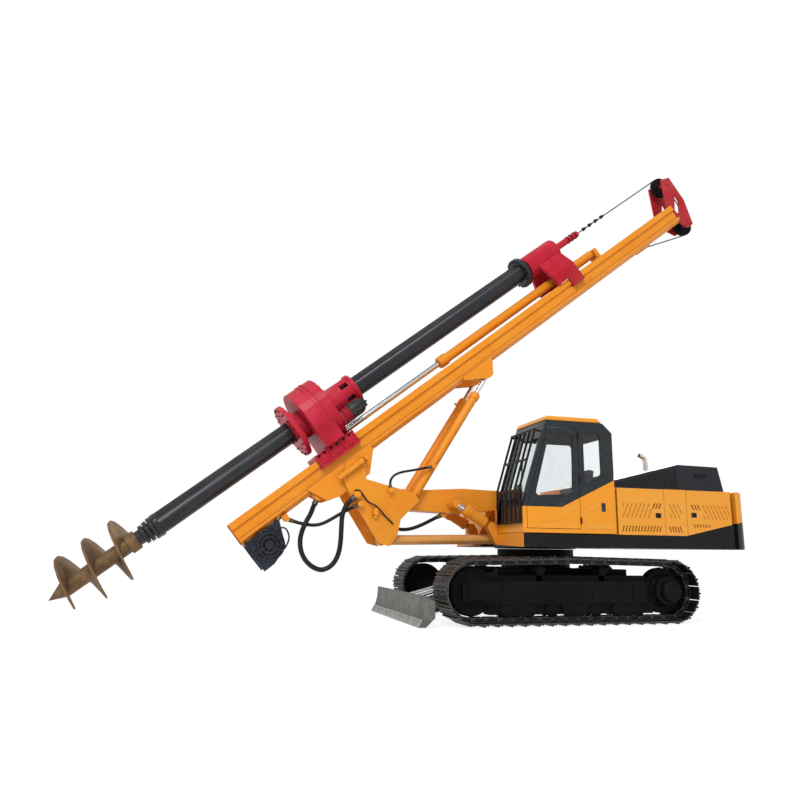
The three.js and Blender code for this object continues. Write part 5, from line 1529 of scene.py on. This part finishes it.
def gear_case(side):
    """The stepped gear case and the feet on one side of the winch."""
    face = side * WINCH_FACE
    parts = []
    for inner, outer, depth in GEAR_STEPS:
        near, far = sorted((face, side * (WINCH_FACE + depth)))
        parts.append(across(ring(near, far, inner, outer, 48), WINCH_S, 0, WINCH_N))
    near, far = sorted((face, side * (WINCH_FACE + 0.085)))
    parts.append(across(bar(near, far, 0.060, 32), WINCH_S, 0, WINCH_N))
    for start, end, outer, foot in WINCH_FEET:
        near, far = sorted((face, side * outer))
        parts.append(box((start, near, foot), (end, far, -0.38)))
    return parts


def make_winch():
    """The winch with its rope, gear cases and hoses, and the hoist rope up the mast."""
    refine("winch_frame", winch_blue, 0.008)
    finish_mesh("rope_on_drum", across(rope_on_drum(), WINCH_S, 0, WINCH_N), rope_steel, "winch_drum",
                MAST)
    refine("winch_drum", winch_blue, 0.004)
    gear, heads = [], []
    for side in (-1, 1):
        gear += gear_case(side)
        for count, radius in GEAR_BOLTS:
            places = ring_of(count, radius, (WINCH_S, side * WINCH_FACE, WINCH_N))
            heads.append(bolts(places, (0, side, 0), 0.012, 0.024))
    gear += [tube(smooth_path(route), radius, 12) for radius, route in WINCH_HOSES]
    fit("winch_gear_cases", gear, winch_blue, "mast", MAST, soft=0.004, segments=1)
    fit("winch_bolts", heads, motor_grey, "mast", MAST)
    off_drum = [(WINCH_S + 0.03, 0.02, WINCH_N + 0.160), (0.62, 0.02, -0.385), (0.80, 0.02, -0.350)]
    ropes = [tube(rope_line(), 0.011, 10), tube([Vector(point) for point in off_drum], 0.011, 10)]
    fit("kelly_rope", ropes, rope_steel, "mast", MAST)
    guide = [box((8.72, -0.05, -0.385), (9.02, 0.05, -0.355))]
    fit("rope_guide", guide, orange, "mast", MAST, soft=0.008)


FRAME_FACE = -0.3855


def frame_trim():
    """A weld seam, a junction box and its cable on the near plate of the mast's frame."""
    y = FRAME_FACE
    fit("frame_seam", [box((-2.95, y - 0.0015, 1.281), (-2.46, y + 0.0015, 1.287))], orange, "mast_frame")
    fitting = [box((-2.775, y - 0.060, 1.50), (-2.705, y + 0.002, 1.60)),
               box((-2.765, y - 0.045, 1.455), (-2.715, y - 0.015, 1.50))]
    fit("frame_fitting", fitting, orange, "mast_frame", soft=0.006)
    cable = smooth_path([(-3.06, y - 0.012, 1.855), (-2.98, y - 0.014, 1.845), (-2.86, y - 0.014, 1.70),
                         (-2.73, y - 0.064, 1.62), (-2.60, y - 0.014, 1.50), (-2.47, y - 0.012, 1.38)])
    finish_mesh("frame_cable", tube(cable, 0.011, 12), hose_rubber, "mast_frame")
    clips = [box((x - 0.012, y - 0.026, z - 0.016), (x + 0.012, y + 0.002, z + 0.016))
             for x, z in ((-2.96, 1.825), (-2.55, 1.455))]
    fit("cable_clips", clips, rope_steel, "mast_frame")


def saddle_cylinder():
    """The small ram that tilts the mast sideways, clamped on the saddle's near side."""
    barrel = [(1.62, 0), (1.62, 0.030), (1.66, 0.042), (2.02, 0.042), (2.03, 0.048), (2.07, 0.048), (2.07, 0)]
    parts = [lathe(barrel, 32), bar(2.06, 2.16, 0.02, 20)]
    parts += [ring(s - 0.018, s + 0.018, 0.015, 0.054, 24) for s in (1.70, 1.95, 2.13)]
    fit("tilt_ram", parts, orange, "mast", MAST @ at(0, -0.43, -0.40), soft=0.003, segments=1)


# ---- Rotary drive ----

CLAW_BOLTS = (1.60, 1.70, 1.82, 1.92, 2.05, 2.15)
CLAW_LOW = -0.10 - KELLY_N
CLAW_TOP = 0.066 - KELLY_N
MOTOR_RINGS = (0.128, 0.108, 0.122, 0.106, 0.118)  # the stacked rings under each motor
SHARP = math.radians(30)  # turned rings stay flat between their edges


def about_x(degrees):
    """A turn about the x axis."""
    return Matrix.Rotation(math.radians(degrees), 4, "X")


def gearbox_face(place, normal):
    """Dark motors standing on the red casing."""
    return int(place.x > 2.38 and abs(place.y) > 0.15)


def gearbox_trim():
    """Flanges, the claws' ribs and bolts on the gearbox."""
    casing = [ring(2.03, 2.055, 0.45, 0.522, 72), ring(1.965, 1.985, 0.45, 0.518, 72),
              ring(2.19, 2.225, 0.25, 0.40, 64)]
    fit("gearbox_flanges", casing, red, "rotary_drive", KELLY, smooth=SHARP)
    heads = [bolts(circle_of(28, 0.480, 2.197), (1, 0, 0), 0.013, 0.016),
             bolts(circle_of(16, 0.370, 2.222), (1, 0, 0), 0.012, 0.014)]
    ribs = []
    for side in (-1, 1):
        claws = [(s, side * 0.345, 0.034 - KELLY_N) for s in CLAW_BOLTS]
        heads.append(bolts(claws, (0, side, 0), 0.016, 0.014))
        near, far = sorted((side * 0.343, side * 0.368))
        ribs += [box((s, near, CLAW_LOW), (s + 0.03, far, CLAW_TOP)) for s in (1.535, 1.755, 1.985, 2.205)]
        ribs.append(box((1.535, near, CLAW_TOP - 0.018), (2.235, far, CLAW_TOP)))
        ribs += [box((start, near, CLAW_LOW), (end, far, CLAW_LOW + 0.018))
                 for start, end in ((1.60, 1.72), (1.82, 1.95), (2.05, 2.17))]
    fit("claw_ribs", ribs, red, "rotary_drive", KELLY, soft=0.004, segments=1)
    fit("gearbox_bolts", heads, dark, "rotary_drive", KELLY)


def motor_trim():
    """The stacked rings under the two motors, and their ribbed cases, heads and fittings."""
    case = [(2.37, 0), (2.37, 0.112), (2.40, 0.120), (2.56, 0.120), (2.60, 0.100), (2.60, 0)]
    fitting = [(0, 0), (0, 0.022), (0.03, 0.022), (0.03, 0.016), (0.055, 0.016), (0.055, 0)]
    bases, cases = [], []
    for side in (-1, 1):
        place = at(0, side * 0.33, 0.300 - KELLY_N)
        bases += [moved(ring(2.20 + 0.035 * i, 2.218 + 0.035 * i, 0.06, radius, 40), place)
                  for i, radius in enumerate(MOTOR_RINGS)]
        cases += [moved(ring(2.40 + 0.03 * i, 2.412 + 0.03 * i, 0.06, 0.126, 32), place) for i in range(5)]
        cases.append(moved(lathe(case, 40), place))
        cases.append(moved(box((2.585, -0.075, -0.07), (2.650, 0.075, 0.07)), place))
        cases += [moved(lathe(fitting, 12), place @ at(2.63, y, 0)) for y in (-0.03, 0.03)]
    fit("motor_bases", bases, red, "rotary_drive", KELLY, smooth=SHARP)
    fit("motor_ribs", cases, motor_grey, "rotary_drive", KELLY, smooth=SHARP)


def sleeve_trim():
    """The drive sleeve with its windows, petals and studs."""
    windows = [moved(box((2.50, -0.045, 0.17), (2.64, 0.045, 0.30)), KELLY @ about_x(60 * i))
               for i in range(6)]
    refine_cut("drive_sleeve", joined(windows), red, 0.006)
    outline = rounded([(-0.10, 0.27), (0.10, 0.27), (0.07, 0.405), (-0.07, 0.405)], 0.03)
    petals = [moved(prism(outline, 1.606, 1.622, "x"), about_x(60 * i)) for i in range(6)]
    fit("sleeve_petals", petals, red, "drive_sleeve", KELLY)
    studs = [bolts(circle_of(18, 0.395, 1.531), (-1, 0, 0), 0.013, 0.016),
             bolts(circle_of(12, 0.30, 1.531), (-1, 0, 0), 0.012, 0.012),
             bolts(circle_of(12, 0.340, 1.62), (1, 0, 0), 0.012, 0.016)]
    fit("sleeve_studs", studs, dark, "drive_sleeve", KELLY)


def make_rotary():
    """The sledge, the gearbox with its motors, and the drive sleeve."""
    refine("rotary_sledge", red, 0.010, 2)
    refine_split("rotary_gearbox", [red, motor_grey], gearbox_face, KELLY, 0.012, 3)
    gearbox_trim()
    motor_trim()
    sleeve_trim()


# ---- Kelly and auger ----

def make_kelly():
    """The two kelly tubes, the rope's swivel and the guide that hangs on it."""
    refine_split("kelly_outer", [kelly_paint, crown_red],
                 lambda place, normal: int(place.x > 6.47), KELLY)
    ribs = [moved(box((-0.70, y, 0.146), (6.36, y + 0.02, 0.1530)), about_x(120 * i + 40))
            for i in range(3) for y in (-0.032, 0.012)]
    fit("kelly_ribs", ribs, kelly_paint, "kelly_outer", KELLY)
    studs = [bolts(circle_of(16, 0.235, 6.375), (-1, 0, 0), 0.014, 0.014)]
    fit("kelly_flange_bolts", studs, dark, "kelly_outer", KELLY)
    refine_split("kelly_inner", [kelly_paint, red],
                 lambda place, normal: int(place.x > 7.3), KELLY)
    rings = [ring(7.62 + 0.09 * i, 7.64 + 0.09 * i, 0.03, 0.068, 24) for i in range(3)]
    fit("swivel_rings", rings, dark, "kelly_inner", KELLY)
    cone = [(0, 0), (0, 0.035), (0.07, 0.018), (0.07, 0)]
    cones = [moved(lathe(cone, 20), at(8.05 + 0.16 * i, 0, 0)) for i in range(4)]
    fit("rope_cones", cones, black, "kelly_inner", KELLY)
    refine_split("kelly_guide", [red, crown_red],
                 lambda place, normal: int(place.z < -0.45), KELLY, 0.008)
    heads = [bolts(circle_of(14, 0.185, 6.542), (-1, 0, 0), 0.010, 0.010),
             bolts(circle_of(14, 0.185, 7.248), (1, 0, 0), 0.010, 0.010)]
    fit("guide_bolts", heads, dark, "kelly_guide", KELLY)


def make_auger():
    """The auger and the ring on its hub."""
    refine("auger", auger_steel, 0.003, 1)
    hub = [ring(-1.10, -1.07, 0.08, 0.135, 32)]
    fit("auger_hub_rings", hub, auger_steel, "kelly_inner", KELLY)


# ---- Hoses ----

# The hoses' routes, in the object's frame.
LOOP_ROUTE = [
    (-3.602, -0.240, 1.687), (-3.634, -0.262, 1.620), (-3.690, -0.355, 1.500), (-3.765, -0.428, 1.370),
    (-3.815, -0.435, 1.240), (-3.834, -0.435, 1.110), (-3.812, -0.435, 0.970), (-3.750, -0.435, 0.855),
    (-3.650, -0.435, 0.765), (-3.522, -0.435, 0.722), (-3.400, -0.435, 0.765), (-3.318, -0.435, 0.862),
    (-3.272, -0.435, 0.990), (-3.254, -0.435, 1.150), (-3.249, -0.432, 1.320), (-3.238, -0.430, 1.490),
    (-3.180, -0.430, 1.640), (-3.066, -0.430, 1.754),
]
SAG_ROUTE = [
    (-3.974, -0.240, 1.411), (-3.915, -0.252, 1.393), (-3.838, -0.285, 1.370), (-3.750, -0.318, 1.352),
    (-3.655, -0.328, 1.342), (-3.560, -0.336, 1.352), (-3.470, -0.342, 1.385), (-3.380, -0.348, 1.435),
    (-3.290, -0.356, 1.490), (-3.200, -0.361, 1.543), (-3.108, -0.396, 1.594), (-3.025, -0.428, 1.633),
]
RAM_ROUTE = [
    (-2.521, -0.420, 1.909), (-2.530, -0.420, 1.970), (-2.516, -0.420, 2.035), (-2.466, -0.418, 2.095),
    (-2.388, -0.414, 2.135), (-2.298, -0.408, 2.160), (-2.200, -0.400, 2.180), (-2.092, -0.393, 2.203),
    (-1.984, -0.390, 2.227), (-1.874, -0.390, 2.251),
]
BOOM_ROUTE = [
    (-2.493, -0.100, 1.385), (-2.415, -0.100, 1.345), (-2.310, -0.100, 1.318), (-2.200, -0.100, 1.313),
    (-2.090, -0.100, 1.332), (-1.985, -0.100, 1.368), (-1.880, -0.100, 1.415), (-1.780, -0.100, 1.465),
    (-1.705, -0.100, 1.503), (-1.641, -0.100, 1.531),
]
# Each hose's name, route and radius, and the bodies that hold its two ends.
HOSES = (
    ("loop_hose", LOOP_ROUTE, 0.035, "mast", "mast_frame"),
    ("sag_hose", SAG_ROUTE, 0.025, "mast", "mast_frame"),
    ("ram_hose", RAM_ROUTE, 0.018, "mast_frame", "luff_ram_barrels"),
    ("boom_hose", BOOM_ROUTE, 0.027, "mast_frame", "boom"),
)


def make_hose(name, route, radius, first_body, last_body):
    """A black hose along its route, with a steel collar at each end on the body that holds that end."""
    line = smooth_path(route)
    shape = tube(line, radius, 20)
    bmesh.ops.recalc_face_normals(shape, faces=shape.faces)
    mesh = bpy.data.meshes.new(name + "_rubber")
    shape.to_mesh(mesh)
    shape.free()
    mesh.materials.append(hose_rubber)
    mesh.polygons.foreach_set("use_smooth", [True] * len(mesh.polygons))
    piece = bpy.data.objects.new(name + "_rubber", mesh)
    bpy.context.scene.collection.objects.link(piece)
    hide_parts(name)
    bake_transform(piece)
    for end, inner, body in ((line[0], line[1], first_body), (line[-1], line[-2], last_body)):
        collar = lathe([(-0.01, 0.7 * radius), (-0.01, 1.25 * radius), (0.05, 1.25 * radius),
                        (0.06, 1.04 * radius), (0.06, 0.7 * radius)], 24)
        tag = name + "_collar_" + body
        finish_mesh(tag, moved(collar, facing(inner - end, end)), rope_steel, body)


for hose in HOSES:
    make_hose(*hose)
make_boom()
frame_trim()
make_mast()
saddle_cylinder()
make_winch()
make_rotary()
make_kelly()
make_auger()
